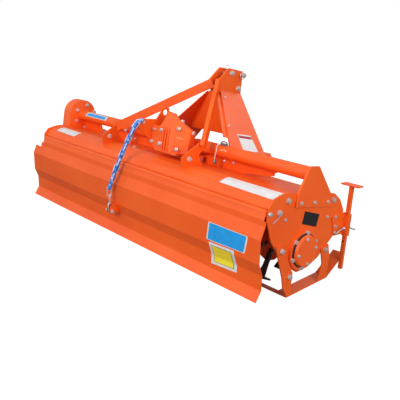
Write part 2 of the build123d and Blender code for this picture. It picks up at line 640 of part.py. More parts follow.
with BuildPart() as support_chain:
    with BuildLine() as hose_line:
        Polyline(*[(X_RIGHT + x, Y_ROTOR + y, z) for x, y, z in hose_route])
    with BuildSketch(Plane(origin=hose_line.line @ 0, z_dir=hose_line.line % 0)):
        RegularPolygon(HOSE_R, HOSE_SIDES)
    sweep(path=hose_line.line, transition=Transition.RIGHT)
    with BuildSketch(across(hose_route[0][0] - MAST_X)):
        with Locations(CHAIN_HOLE[:2]):
            Circle(CHAIN_HOLE[2])
    extrude(amount=LIFT_X - LIFT_T - (hose_route[0][0] - MAST_X))
    for i, link_turn in enumerate(LINK_TURNS):
        facing = Vector(cos(radians(link_turn)), -sin(radians(link_turn)), 0)
        link_middle = (X_RIGHT + LUG_X, Y_ROTOR + LUG_BOLT[0], LINK_TOP - i * LINK_PITCH - LINK_L / 2)
        with BuildSketch(Plane(origin=link_middle, x_dir=(0, 0, 1), z_dir=facing)):
            Polygon(*ring(LINK_L / 2, LINK_W / 2), align=None)
            Polygon(*ring(LINK_L / 2 - BAR, LINK_W / 2 - BAR), align=None, mode=Mode.SUBTRACT)
        extrude(amount=BAR / 2, both=True)
support_chain.part.label = "support_chain"
export_step(support_chain.part, "parts/support_chain.step")

ROD_OUT = 12.0              # the hinge rod's head outside the right plate
with BuildPart() as hinge_rod:
    with BuildSketch(Plane.YZ.offset(X_LEFT)):
        with Locations(side([HINGE])[0]):
            Circle(HINGE_R)
    extrude(amount=SIDE_SPAN + ROD_OUT)
hinge_rod.part.label = "hinge_rod"
export_step(hinge_rod.part, "parts/hinge_rod.step")

# ---------------------------------------------------------------- skids
SKID_W = 80.0
SKID_T = 8.0
skid_line = [(-130, 0), (246, 0), (420, 104)]
right_rear_leg = [
    (-235, 345), (-165, 330), (-90, 150), (-90, SKID_T), (-128, SKID_T), (-160, 70), (-172, 140),
]
left_rear_leg = [
    (-235, 345), (-190, 335), (-150, 250), (-150, 116), (-90, 110), (-90, SKID_T), (-128, SKID_T), (-160, 70),
    (-172, 140),
]
front_leg = [(173, 210), (245, 222), (262, 140), (246, 30), (236, SKID_T), (150, SKID_T), (196, 110)]
for sidename, x_outer, x_sign, rear_leg in (
    ("right", X_RIGHT + SKID_T, 1, right_rear_leg),
    ("left", X_LEFT - SKID_T, -1, left_rear_leg),
):
    with BuildPart() as skid:
        x_start = x_outer - SKID_W if x_sign > 0 else x_outer
        with BuildSketch(Plane.YZ.offset(x_start)):
            Polygon(*side(band(skid_line, -SKID_T)), align=None)
        extrude(amount=SKID_W)
        for leg in (rear_leg, front_leg):
            with BuildSketch(Plane.YZ.offset(x_outer - SKID_T if x_sign > 0 else x_outer)):
                Polygon(*side(leg), align=None)
            extrude(amount=SKID_T)
    skid.part.label = f"{sidename}_skid"
    export_step(skid.part, f"parts/{sidename}_skid.step")

tie_outline = [(-130, 0), (-105, 0), (-105, 10), (-130, 10)]
X_SKID_IN_R = X_RIGHT + SKID_T - SKID_W
X_SKID_IN_L = X_LEFT - SKID_T + SKID_W
with BuildPart() as skid_tie_bar:
    with BuildSketch(Plane.YZ.offset(X_SKID_IN_L)):
        Polygon(*side(tie_outline), align=None)
    extrude(amount=X_SKID_IN_R - X_SKID_IN_L)
skid_tie_bar.part.label = "skid_tie_bar"
export_step(skid_tie_bar.part, "parts/skid_tie_bar.step")

# ---------------------------------------------------------------- parking stands
STAND_W = 22.0
SLEEVE_W = 34.0
SLEEVE_FROM = 215.0         # along the stand from its lower end
SLEEVE_L = 135.0
STAND_L = 525.0
STAND_LEAN = 6.0
STAND_FOOT = (362.0, 30.0)  # lower end, (y, z)
STAND_OUT = 24.0            # stand centre line outside the side plate
CAP_X = 120.0               # plate on top of the stand
CAP_Y = 60.0
CAP_T = 8.0
SLEEVE_CUT = 5.0            # the bore is cut this far past the sleeve's ends
bracket_outline = [(262, 385), (398, 385), (388, 250), (292, 262)]
BRACKET_T = 8.0
lean = radians(STAND_LEAN)
for sidename, x_plate, x_sign in (("right", X_RIGHT, 1), ("left", X_LEFT, -1)):
    stand_frame = Plane(
        origin=(x_plate + x_sign * STAND_OUT, Y_ROTOR + STAND_FOOT[0], STAND_FOOT[1]),
        x_dir=(1, 0, 0),
        z_dir=(0, sin(lean), cos(lean)),
    )
    with BuildPart() as stand:
        with BuildSketch(stand_frame):
            Rectangle(STAND_W, STAND_W)
        extrude(amount=STAND_L)
        with BuildSketch(stand_frame.offset(STAND_L)):
            Rectangle(CAP_X, CAP_Y)
        extrude(amount=CAP_T)
    stand.part.label = f"{sidename}_stand"
    export_step(stand.part, f"parts/{sidename}_stand.step")
    with BuildPart() as stand_sleeve:
        with BuildSketch(stand_frame.offset(SLEEVE_FROM)):
            Rectangle(SLEEVE_W, SLEEVE_W)
        extrude(amount=SLEEVE_L)
        with BuildSketch(Plane.YZ.offset(x_plate)):
            Polygon(*side(bracket_outline), align=None)
        extrude(amount=x_sign * BRACKET_T)
        with BuildSketch(stand_frame.offset(SLEEVE_FROM - SLEEVE_CUT)):
            Rectangle(STAND_W + 2 * FIT, STAND_W + 2 * FIT)
        extrude(amount=SLEEVE_L + 2 * SLEEVE_CUT, mode=Mode.SUBTRACT)
    stand_sleeve.part.label = f"{sidename}_stand_sleeve"
    export_step(stand_sleeve.part, f"parts/{sidename}_stand_sleeve.step")
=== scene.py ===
"""Looks of a tractor's rotary tiller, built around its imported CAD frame.

Places are (x, y, z) in millimetres as a fitter would measure them: x from the outer face of the right side
plate, y from the rotor's axis and z from the ground. On the machine's pitched body they are (x, y, z) from
the hitch centre on the beam tube's axis, with y along the body and z square to it.
"""

import json
import math
import random

import bmesh
import bpy
from mathutils import Euler, Matrix, Vector


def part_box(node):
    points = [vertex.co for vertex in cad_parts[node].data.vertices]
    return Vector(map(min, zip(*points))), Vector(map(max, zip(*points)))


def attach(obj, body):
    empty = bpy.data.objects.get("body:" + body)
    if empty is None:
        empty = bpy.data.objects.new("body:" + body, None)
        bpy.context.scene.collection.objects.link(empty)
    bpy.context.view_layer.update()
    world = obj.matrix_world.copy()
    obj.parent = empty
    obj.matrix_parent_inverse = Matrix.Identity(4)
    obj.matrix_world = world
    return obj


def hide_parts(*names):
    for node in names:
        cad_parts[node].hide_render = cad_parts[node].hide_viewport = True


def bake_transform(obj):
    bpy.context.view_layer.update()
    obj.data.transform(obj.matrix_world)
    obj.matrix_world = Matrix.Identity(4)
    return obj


bl_info = {
    "name": "Rotary Tiller Looks",
    "version": (1, 0, 0),
    "blender": (4, 5, 0),
    "location": "View3D > Sidebar > Tiller",
    "description": "Paint, fasteners, chain and labels of a rotary tiller around its CAD frame",
    "category": "Object",
}

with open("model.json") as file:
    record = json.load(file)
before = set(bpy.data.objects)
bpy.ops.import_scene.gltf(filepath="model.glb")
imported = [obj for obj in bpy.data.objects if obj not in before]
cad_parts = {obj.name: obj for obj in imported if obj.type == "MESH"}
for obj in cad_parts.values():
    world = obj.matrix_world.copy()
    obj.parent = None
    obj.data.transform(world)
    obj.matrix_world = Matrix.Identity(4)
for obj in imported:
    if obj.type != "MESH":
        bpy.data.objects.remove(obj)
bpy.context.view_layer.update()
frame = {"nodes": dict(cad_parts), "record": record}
NODES = frame["nodes"]
MM = 0.001
RIGHT = Vector((1, 0, 0))
LEFT = -RIGHT
FORWARD = Vector((0, 1, 0))
REAR = -FORWARD
UP = Vector((0, 0, 1))
PITCH = math.radians(12.5)          # nose-down pitch of the machine's body on its skids
BODY_FORWARD = Vector((0, math.cos(PITCH), -math.sin(PITCH)))
BODY_REAR = -BODY_FORWARD
BODY_UP = Vector((0, math.sin(PITCH), math.cos(PITCH)))

PLATE_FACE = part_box("right_side_plate")[1].x
ROTOR_Y = (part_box("bearing_cover")[0].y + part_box("bearing_cover")[1].y) / 2


def measured(node):
    """Low corner, middle and high corner of a CAD node in millimetres on the machine, to a tenth."""
    low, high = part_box(node)
    zero = Vector((PLATE_FACE, ROTOR_Y, 0))
    places = [(corner - zero) / MM for corner in (low, (low + high) / 2, high)]
    return [Vector([round(value, 1) for value in place]) for place in places]


PLATE_T = -measured("right_side_plate")[0].x
SPAN = -measured("left_side_plate")[0].x                # over the outer faces of the two side plates
CASE_FACE = measured("side_gear_cover")[0].x            # outer face of the side gear case's cover
ROTOR = measured("bearing_cover")[1]
TUBE = measured("left_beam_tube")[1]                    # on the beam tube's axis
TUBE_R = measured("left_beam_tube")[2].y - TUBE.y
HITCH_X = measured("mast_web")[1].x
HINGE = measured("hinge_rod")[1]
LOWER_PIN = measured("right_lower_link_pin")[1]
BRACE_FEET = [measured(f"{name}_brace_foot")[2].x for name in ("right", "left")]

MAST_HALF = 45.0                    # from the hitch centre to the mast plates' outer faces
LEG_TOP = 375.0                     # height on the body at which those plates crease outward into legs
LEG_SPREAD = 0.849                  # how far a leg leans out for each millimetre down
GEARBOX_REAR = -200.0               # y of the gearbox's rear face on the body
WELD_R = 3.5


# ------------------------------------------------------------ places
def at(x, y, z):
    """Place on the machine, in metres in the frame."""
    return Vector((PLATE_FACE + x * MM, ROTOR_Y + y * MM, z * MM))


def body_at(x, y, z):
    """Place on the pitched body, in metres in the frame."""
    c, s = math.cos(PITCH), math.sin(PITCH)
    return at(HITCH_X + x, TUBE.y + y * c + z * s, TUBE.z - y * s + z * c)


def leg_normal(side):
    """Way that the outer face of a leaning mast leg looks; side is 1 for right and -1 for left."""
    return (RIGHT * side + BODY_UP * LEG_SPREAD).normalized()


def leg_at(side, y, z):
    """Place on the outer face of a mast leg, y and z on the body."""
    return body_at(side * (MAST_HALF + (LEG_TOP - z) * LEG_SPREAD), y, z)


def polar(radius, degrees):
    """Offsets forward and up at a radius, turned up from straight ahead."""
    turn = math.radians(degrees)
    return radius * math.cos(turn), radius * math.sin(turn)


def oval(middle, first, second, count):
    """Places round an oval, from its middle and two half axes in millimetres."""
    turns = [2 * math.pi * k / count for k in range(count)]
    return [middle + (first * math.cos(turn) + second * math.sin(turn)) * MM for turn in turns]


def facing(place, normal, turn=0.0):
    """Matrix whose Z axis is the normal, at that place."""
    matrix = normal.to_track_quat("Z", "Y").to_matrix().to_4x4()
    return Matrix.Translation(place) @ matrix @ Matrix.Rotation(turn, 4, "Z")


# ------------------------------------------------------------ colour and nodes
def linear(code):
    """sRGB hex colour, such as F4561F, as linear RGBA."""
    values = [int(code[i:i + 2], 16) / 255 for i in (0, 2, 4)]
    return tuple(v / 12.92 if v <= 0.04045 else ((v + 0.055) / 1.055) ** 2.4 for v in values) + (1.0,)


def add_node(tree, kind, settings=None, inputs=None, links=None, stops=()):
    """Adds a node, with its properties, sockets, links from (node, output) and (position, RGBA) stops."""
    node = tree.nodes.new(kind)
    for key, value in (settings or {}).items():
        setattr(node, key, value)
    for key, value in (inputs or {}).items():
        node.inputs[key].default_value = value
    for key, (source, output) in (links or {}).items():
        tree.links.new(source.outputs[output], node.inputs[key])
    if stops:
        elements = node.color_ramp.elements
        for element, (position, colour) in zip(elements, (stops[0], stops[-1])):
            element.position = position
            element.color = colour
        for position, colour in stops[1:-1]:
            elements.new(position).color = colour
    return node


def new_material(name):
    """Bare node material and its tree."""
    material = bpy.data.materials.new(name)
    material.use_nodes = True
    material.node_tree.nodes.clear()
    return material, material.node_tree


# ------------------------------------------------------------ materials
def sprayed_enamel(name, tone, shade, bump_mm, cell_mm, gloss):
    """Sprayed enamel over steel: wet-looking colour whose gloss wavers with a faint orange peel. Its tone
    drifts slowly over a plate, and a little thin dust lies low down."""
    material, tree = new_material(name)
    position = (add_node(tree, "ShaderNodeTexCoord"), "Object")
    drift = add_node(
        tree, "ShaderNodeTexNoise", inputs={"Scale": 1 / (350 * MM), "Detail": 3.0, "Roughness": 0.55},
        links={"Vector": position},
    )
    colour = add_node(
        tree, "ShaderNodeValToRGB", links={"Fac": (drift, "Fac")}, stops=[(0.32, shade), (0.68, tone)],
    )
    dust_noise = add_node(
        tree, "ShaderNodeTexNoise", inputs={"Scale": 1 / (50 * MM), "Detail": 6.0, "Roughness": 0.65},
        links={"Vector": position},
    )
    height = add_node(tree, "ShaderNodeSeparateXYZ", links={"Vector": position})
    low = add_node(
        tree, "ShaderNodeMapRange",
        inputs={"From Min": 0.0, "From Max": 120 * MM, "To Min": 0.05, "To Max": 0.0},
        links={"Value": (height, "Z")},
    )
    dust = add_node(
        tree, "ShaderNodeMath", {"operation": "MULTIPLY", "use_clamp": True},
        links={0: (low, "Result"), 1: (dust_noise, "Fac")},
    )
    dusty = add_node(
        tree, "ShaderNodeMix", {"data_type": "RGBA"}, {7: linear("B9A28A")},
        {0: (dust, "Value"), 6: (colour, "Color")},
    )
    peel = add_node(
        tree, "ShaderNodeTexNoise", inputs={"Scale": 1 / (cell_mm * MM), "Detail": 2.0, "Roughness": 0.5},
        links={"Vector": position},
    )
    rough = add_node(
        tree, "ShaderNodeMapRange",
        inputs={"From Min": 0.3, "From Max": 0.7, "To Min": gloss - 0.05, "To Max": gloss + 0.09},
        links={"Value": (dust_noise, "Fac")},
    )
    bump = add_node(
        tree, "ShaderNodeBump", inputs={"Strength": 0.35, "Distance": bump_mm * MM},
        links={"Height": (peel, "Fac")},
    )
    shader = add_node(
        tree, "ShaderNodeBsdfPrincipled", inputs={"IOR": 1.5, "Coat Weight": 0.1, "Coat Roughness": 0.15},
        links={"Base Color": (dusty, 2), "Roughness": (rough, "Result"), "Normal": (bump, "Normal")},
    )
    add_node(tree, "ShaderNodeOutputMaterial", links={"Surface": (shader, "BSDF")})
    return material


def mottled(name, grain_mm, detail, crumble, stops, rough, bump_mm, bump, shader_inputs, rough_to=0.7):
    """Surface whose colour, roughness and height all follow one fine mottle. rough is the roughness at the
    mottle's two ends."""
    material, tree = new_material(name)
    position = (add_node(tree, "ShaderNodeTexCoord"), "Object")
    mottle = add_node(
        tree, "ShaderNodeTexNoise",
        inputs={"Scale": 1 / (grain_mm * MM), "Detail": detail, "Roughness": crumble},
        links={"Vector": position},
    )
    colour = add_node(tree, "ShaderNodeValToRGB", links={"Fac": (mottle, "Fac")}, stops=stops)
    gloss = add_node(
        tree, "ShaderNodeMapRange",
        inputs={"From Min": 0.3, "From Max": rough_to, "To Min": rough[0], "To Max": rough[1]},
        links={"Value": (mottle, "Fac")},
    )
    relief = add_node(
        tree, "ShaderNodeBump", inputs={"Strength": bump, "Distance": bump_mm * MM},
        links={"Height": (mottle, "Fac")},
    )
    shader = add_node(
        tree, "ShaderNodeBsdfPrincipled", inputs=shader_inputs,
        links={
            "Base Color": (colour, "Color"), "Roughness": (gloss, "Result"), "Normal": (relief, "Normal"),
        },
    )
    add_node(tree, "ShaderNodeOutputMaterial", links={"Surface": (shader, "BSDF")})
    return material


def plated_steel(name, light, dark, roughness, grain_mm):
    """Zinc-plated steel: a cool silver sheen broken up by a fine mottle from the plating bath."""
    return mottled(
        name, grain_mm, 4.0, 0.6, [(0.3, linear(dark)), (0.7, linear(light))],
        (roughness - 0.07, roughness + 0.1), 0.3, 0.2, {"Metallic": 0.75},
    )


def dipped_black(name):
    """Black dip paint on forged spring steel: soft sheen, hammer-scale ripple and dry scuffs."""
    return mottled(
        name, 18, 5.0, 0.6, [(0.35, linear("141416")), (0.62, linear("26262A")), (0.78, linear("4A4846"))],
        (0.34, 0.62), 0.6, 0.4, {"IOR": 1.5}, rough_to=0.75,
    )


def printed_vinyl(name, tone, shade):
    """Blank label film: even printed colour under a smooth clear laminate, slightly greyed by handling."""
    return mottled(
        name, 40, 5.0, 0.65, [(0.3, linear(shade)), (0.6, linear(tone))],
        (0.38, 0.52), 0.2, 0.15, {"IOR": 1.5, "Coat Weight": 0.05, "Coat Roughness": 0.2},
    )


def turned_steel(name):
    """Machined steel left bright: fine lathe rings round the shaft, under a thin film of oil. The rings are
    drawn 8 mm apart, coarser than a lathe leaves them, so that they show."""
    material, tree = new_material(name)
    position = (add_node(tree, "ShaderNodeTexCoord"), "Object")
    rings = add_node(
        tree, "ShaderNodeTexWave", {"wave_type": "BANDS", "bands_direction": "Y"},
        {"Scale": 1 / (8 * MM), "Distortion": 0.6, "Detail": 2.0}, {"Vector": position},
    )
    colour = add_node(
        tree, "ShaderNodeValToRGB", links={"Fac": (rings, "Fac")},
        stops=[(0.0, linear("9A9A98")), (1.0, linear("C6C6C4"))],
    )
    bump = add_node(
        tree, "ShaderNodeBump", inputs={"Strength": 0.25, "Distance": 0.2 * MM},
        links={"Height": (rings, "Fac")},
    )
    shader = add_node(
        tree, "ShaderNodeBsdfPrincipled", inputs={"Metallic": 1.0, "Roughness": 0.28},
        links={"Base Color": (colour, "Color"), "Normal": (bump, "Normal")},
    )
    add_node(tree, "ShaderNodeOutputMaterial", links={"Surface": (shader, "BSDF")})
    return material


def chain_hose(name):
    """Soft PVC hose pulled over a chain: milky blue skin, paler where a link presses through it."""
    material, tree = new_material(name)
    position = (add_node(tree, "ShaderNodeTexCoord"), "Object")
    links_through = add_node(
        tree, "ShaderNodeTexVoronoi", {"feature": "F1"}, {"Scale": 1 / (24 * MM), "Randomness": 0.75},
        {"Vector": position},
    )
    colour = add_node(
        tree, "ShaderNodeValToRGB", links={"Fac": (links_through, "Distance")},
        stops=[(0.1, linear("CFE0F4")), (0.34, linear("4F93DE")), (0.75, linear("1763C0"))],
    )
    bump = add_node(
        tree, "ShaderNodeBump", {"invert": True}, {"Strength": 0.6, "Distance": 2 * MM},
        {"Height": (links_through, "Distance")},
    )
    shader = add_node(
        tree, "ShaderNodeBsdfPrincipled",
        inputs={"IOR": 1.53, "Roughness": 0.32, "Subsurface Weight": 0.1},
        links={"Base Color": (colour, "Color"), "Normal": (bump, "Normal")},
    )
    add_node(tree, "ShaderNodeOutputMaterial", links={"Surface": (shader, "BSDF")})
    return material


# the finishes that belong to each slot of the CAD parts
MATERIALS = {}


def material(finish):
    """The material of that finish, made once."""
    paint = bpy.context.scene.tiller_paint
    makers = {
        # bright orange enamel on sheet and plate: a fine peel and an even gloss
        "orange_paint": lambda: sprayed_enamel(
            "Sprayed_orange_enamel", tuple(paint.sheet), tuple(paint.sheet_shade), 0.25, 6.0, 0.44),
        # the same enamel over rough cast iron: grainy, duller, and painted lighter as a highlight
        "cast_orange": lambda: sprayed_enamel(
            "Enamelled_cast_iron_painted_highlight", tuple(paint.casting), tuple(paint.casting_shade), 1.2, 3.2, 0.48),
        # paler enamel on a raised mark on a casting: a painted highlight
        "highlight_enamel": lambda: sprayed_enamel(
            "Paler_enamel_painted_highlight", linear("FF9A5C"), linear("F88248"), 1.2, 3.0, 0.42),
        # blades: near-black with scuffs
        "black_blade": lambda: dipped_black("Dipped_black_spring_steel"),
        # black ring round the bearing: painted shade of the gap behind its cover, soft sheen as the dip
        # paint
        "painted_shade_black": lambda: dipped_black("Black_painted_shade_ring"),
        # anodised sheet: an even near-black with a soft sheen
        "black_plate": lambda: printed_vinyl("Black_anodised_plate", "1B1B1D", "121214"),
        # inside of a peg hole: brown-black painted shade, with no light of its own
        "dark_bore": lambda: printed_vinyl("Painted_shade_in_bore", "2A1510", "1C0E0A"),
        # new fasteners and pins: light silver
        "zinc_steel": lambda: plated_steel("Zinc_plated_steel", "FAFAF8", "D4D5D8", 0.36, 5.0),
        # handled or dusty plating: a greyer, duller silver
        "dull_steel": lambda: plated_steel("Dull_plated_steel", "A6A6A8", "6E6E72", 0.5, 4.0),
        # the input shaft: bright and ringed
        "bright_steel": lambda: turned_steel("Turned_bright_steel"),
        # label films, each one even colour
        "white_vinyl": lambda: printed_vinyl("White_label_vinyl", "E6E4E5", "D9D6D8"),
        "blue_vinyl": lambda: printed_vinyl("Blue_label_vinyl", "1CA4F0", "1995E0"),
        "yellow_vinyl": lambda: printed_vinyl("Yellow_label_vinyl", "FBEA38", "EED92C"),
        "red_vinyl": lambda: printed_vinyl("Red_label_vinyl", "B5141C", "98101A"),
        # nylon cord of the linch pin: pale pink and smooth
        "pale_cord": lambda: printed_vinyl("Pale_nylon_cord", "F2D6CC", "DDBBB0"),
        # hose over the chain: deep blue between the links
        "chain_hose": lambda: chain_hose("Blue_chain_hose"),
        # the hose where it stretches over a link: milky blue
        "pale_hose": lambda: printed_vinyl("Milky_hose_over_links", "D2E6FF", "8CB9F4"),
    }
    if finish not in MATERIALS:
        MATERIALS[finish] = makers[finish]()
    return MATERIALS[finish]


# ------------------------------------------------------------ mesh helpers
def finish_piece(name, bm, body, finish, smooth_deg=35.0):
    """Turns a bmesh into a piece in its finish and slot that rides on a body."""
    mesh = bpy.data.meshes.new(name)
    bmesh.ops.recalc_face_normals(bm, faces=bm.faces)
    bm.to_mesh(mesh)
    bm.free()
    piece = bpy.data.objects.new(name, mesh)
    bpy.context.scene.collection.objects.link(piece)
    mesh.shade_smooth()
    mesh.set_sharp_from_angle(angle=math.radians(smooth_deg))
    piece.data.materials.append(material(finish))
    if body:
        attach(piece, body)
    return piece


def add_lathe(bm, matrix, profile, segments=20):
    """Turned form: (radius, height) steps in millimetres round the matrix's Z axis, closed at both ends."""
    rings = []
    for radius, height in profile:
        ring = []
        for i in range(segments):
            turn = 2 * math.pi * i / segments
            spot = Vector((math.cos(turn) * radius, math.sin(turn) * radius, height)) * MM
            ring.append(bm.verts.new(matrix @ spot))
        rings.append(ring)
    for low, high in zip(rings, rings[1:]):
        for i in range(segments):
            j = (i + 1) % segments
            bm.faces.new((low[i], low[j], high[j], high[i]))
    bm.faces.new(rings[0][::-1])
    bm.faces.new(rings[-1])


def add_hexagon(bm, spot, size, height):
    """Hexagon with a turned chamfer on its washer; size is the thread diameter."""
    washer = size * 0.17
    chamfer = size * 0.1
    half = size * 0.8
    corner = half / math.cos(math.pi / 6)
    top = washer + height
    add_lathe(bm, spot, [(size, -0.5), (size, size * 0.14), (size * 0.94, washer)])
    add_lathe(bm, spot, [(corner, washer), (corner, top - chamfer), (half * 0.92, top)], 6)


def add_bolt(bm, place, normal, size, turn=0.0):
    """Hexagon bolt head on its washer."""
    add_hexagon(bm, facing(place, normal, turn), size, size * 0.75)


def add_stud(bm, place, normal, size, turn=0.0):
    """Nut on its washer with the thread's end standing out."""
    spot = facing(place, normal, turn)
    add_hexagon(bm, spot, size, size * 0.8)
    thread = size * 0.48
    add_lathe(bm, spot, [(thread, size * 0.9), (thread, size * 1.3), (size * 0.38, size * 1.4)], 12)


def add_box(bm, matrix, low, high, bevel=0.0):
    """Box between two corners in millimetres, its edges eased."""
    corners = [
        bm.verts.new(matrix @ (Vector((x, y, z)) * MM))
        for x in (low[0], high[0]) for y in (low[1], high[1]) for z in (low[2], high[2])
    ]
    faces = [
        bm.faces.new([corners[i] for i in ids])
        for ids in ((0, 1, 3, 2), (4, 6, 7, 5), (0, 4, 5, 1), (2, 3, 7, 6), (0, 2, 6, 4), (1, 5, 7, 3))
    ]
    if bevel:
        edges = list(dict.fromkeys(edge for face in faces for edge in face.edges))
        bmesh.ops.bevel(bm, geom=edges, offset=bevel * MM, segments=2, profile=0.6, affect="EDGES")


def add_prism(bm, points, normal, depth):
    """Plate: a flat outline given as places, pushed along the normal by depth millimetres."""
    low = [bm.verts.new(p) for p in points]
    high = [bm.verts.new(p + normal * depth * MM) for p in points]
    bm.faces.new(low[::-1])
    bm.faces.new(high)
    for i in range(len(points)):
        j = (i + 1) % len(points)
        bm.faces.new((low[i], low[j], high[j], high[i]))


def add_rod(bm, path, radius, segments=10, closed=False):
    """Round rod or wire along places, its ends capped, its ring carried along the path without twisting."""
    count = len(path)
    rings = []
    side = None
    for i, place in enumerate(path):
        before = path[(i - 1) % count] if closed or i else place
        after = path[(i + 1) % count] if closed or i < count - 1 else place
        along = (after - before).normalized()
        if side is None:
            side = along.orthogonal().normalized()
        side = (side - along * side.dot(along)).normalized()
        other = along.cross(side)
        ring = oval(place, side * radius, other * radius, segments)
        rings.append([bm.verts.new(spot) for spot in ring])
    spans = list(zip(rings, rings[1:] + ([rings[0]] if closed else [])))
    for low, high in spans:
        for k in range(segments):
            j = (k + 1) % segments
            bm.faces.new((low[k], low[j], high[j], high[k]))
    if not closed:
        bm.faces.new(rings[0][::-1])
        bm.faces.new(rings[-1])


def curve_places(points, steps=8):
    """Smooth path through places (Catmull-Rom)."""
    path = []
    for i in range(len(points) - 1):
        a, b = points[max(i - 1, 0)], points[i]
        c, d = points[i + 1], points[min(i + 2, len(points) - 1)]
        for k in range(steps):
            t = k / steps
            path.append(
                0.5 * (2 * b + (c - a) * t + (2 * a - 5 * b + 4 * c - d) * t * t
                       + (3 * b - a - 3 * c + d) * t * t * t)
            )
    path.append(points[-1].copy())
    return path


def add_weld(bm, start, end, radius, rng):
    """Weld bead: a rippled rod along a seam."""
    length = (end - start).length
    count = max(3, int(length / (radius * 1.1 * MM)))
    along = (end - start).normalized()
    side = along.orthogonal().normalized()
    other = along.cross(side)
    rings = []
    for i in range(count + 1):
        swell = radius * (1.0 if i % 2 else 0.8) * rng.uniform(0.92, 1.08)
        if i in (0, count):
            swell = radius * 0.45
        ring = oval(start.lerp(end, i / count), side * swell, other * swell, 6)
        rings.append([bm.verts.new(place) for place in ring])
    for low, high in zip(rings, rings[1:]):
        for k in range(6):
            bm.faces.new((low[k], low[(k + 1) % 6], high[(k + 1) % 6], high[k]))
    bm.faces.new(rings[0][::-1])
    bm.faces.new(rings[-1])


# ------------------------------------------------------------ settings
def length_setting(name, description, size, low, high):
    """Length setting, from its default and limits in millimetres."""
    return bpy.props.FloatProperty(
        name=name, description=description, default=size * MM, min=low * MM, max=high * MM,
        subtype="DISTANCE",
    )


def colour_setting(name, description, code):
    """Colour setting, from its sRGB hex default."""
    return bpy.props.FloatVectorProperty(
        name=name, description=description, default=linear(code), size=4, min=0, max=1, subtype="COLOR",
    )


class TILLER_PG_paint(bpy.types.PropertyGroup):
    """Colours of the enamel, and how it rounds edges"""

    sheet: colour_setting("Sheet enamel", "Colour of the enamel on sheet and plate", "FB6518")
    sheet_shade: colour_setting("Sheet enamel, deep", "Deeper tone that it drifts to", "F45A12")
    # the casting enamel is painted lighter and yellower than the sheet's, as a highlight
    casting: colour_setting("Casting enamel", "Colour of the enamel on castings and welds", "FF6C26")
    casting_shade: colour_setting("Casting enamel, deep", "Deeper tone that it drifts to", "F65C1A")
    edge: length_setting("Edge rounding", "Radius that the paint gives to edges", 1.6, 0.2, 4.0)


class TILLER_PG_fasteners(bpy.types.PropertyGroup):
    """Threads of the common bolts"""

    small: length_setting("Small thread", "Diameter of the small bolts' thread", 10, 6, 16)
    large: length_setting("Large thread", "Diameter of the large bolts' thread", 16, 10, 24)


class TILLER_PG_stage(bpy.types.PropertyGroup):
    """The camera's lens and direction"""

    lens: bpy.props.FloatProperty(
        name="Lens", description="Focal length of the camera", default=51.5, min=20, max=120, unit="CAMERA",
    )
    azimuth: bpy.props.FloatProperty(
        name="Azimuth", description="Camera direction round the machine", default=math.radians(48.19),
        subtype="ANGLE",
    )
    elevation: bpy.props.FloatProperty(
        name="Elevation", description="Camera direction above the horizon", default=math.radians(19.14),
        subtype="ANGLE",
    )


# ------------------------------------------------------------ operators
CAST_NODES = ("gearbox", "side_gear_case", "side_gear_cover", "bearing_housing", "bearing_cover")


class TILLER_OT_paint(bpy.types.Operator):
    """Give every CAD node its finish and eased edges"""

    bl_idname = "tiller.paint"
    bl_label = "Paint the frame"

    def execute(self, context):
        edge = context.scene.tiller_paint.edge
        for part in frame["record"]["subparts"]:
            node = NODES[part["node"]]
            # castings take the enamel that is painted lighter, as a highlight
            finish = "cast_orange" if part["node"] in CAST_NODES else part["material_slot"]
            node.data.materials.clear()
            node.data.materials.append(material(finish))
            bevel = node.modifiers.new("Eased_edges", "BEVEL")
            bevel.width = edge
            bevel.segments = 2
            bevel.limit_method = "ANGLE"
            bevel.angle_limit = math.radians(40)
            bevel.use_clamp_overlap = True
            bevel.harden_normals = False
        return {"FINISHED"}


class TILLER_OT_plate_bolts(bpy.types.Operator):
    """Add the bolts of the side plates, tube support, rotor bearing and side gear case"""

    bl_idname = "tiller.plate_bolts"
    bl_label = "Plate bolts"

    def execute(self, context):
        sizes = context.scene.tiller_fasteners
        small, large = sizes.small / MM, sizes.large / MM
        on_fitting = 9.0        # how far the bolts stand out on the skids and the stands' brackets
        rng = random.Random(11)
        # y, z, thread, how far out
        plate_bolts = (
            (-141, 583, large, 0), (273, 491, large, 0), (218, 400, small, 0), (291, 384, small, on_fitting),
            (299, 320, small, on_fitting), (293, 283, small, on_fitting), (-213, 532, small, 0),
            (-161, 479, small, 0), (-187, 305, large, on_fitting), (209, 198, large, on_fitting),
            (-111, 126, large, on_fitting),
        )
        support_bolts = ((-41, 548), (79, 523), (205, 498))
        case_bolts = ((126, 758), (31, 727), (191, 694), (14, 640), (86, 574))
        bm = bmesh.new()
        for y, z, thread, out in plate_bolts:
            for x, side in ((out, RIGHT), (-SPAN - out, LEFT)):
                add_bolt(bm, at(x, y, z), side, thread, rng.uniform(0, 1))
        for y, z in support_bolts:
            add_bolt(bm, at(PLATE_T, y, z), RIGHT, small * 1.1, rng.uniform(0, 1))
        for y, z in case_bolts:
            add_bolt(bm, at(-SPAN, y, z), RIGHT, large * 0.9, rng.uniform(0, 1))
        finish_piece("Plate_bolts", bm, "frame", "zinc_steel")
        bm = bmesh.new()
        # bolts in the ring, x of the face, radius of the ring, degrees of its first bolt, thread
        for count, x, radius, first, thread in ((6, 14, 103, 17, large * 0.9), (4, 39.5, 76, 3, small)):
            for k in range(count):
                forward, up = polar(radius, first + 360 / count * k)
                add_bolt(bm, at(x, forward, ROTOR.z + up), RIGHT, thread, rng.uniform(0, 1))
        finish_piece("Bearing_bolts", bm, "frame", "zinc_steel")
        return {"FINISHED"}


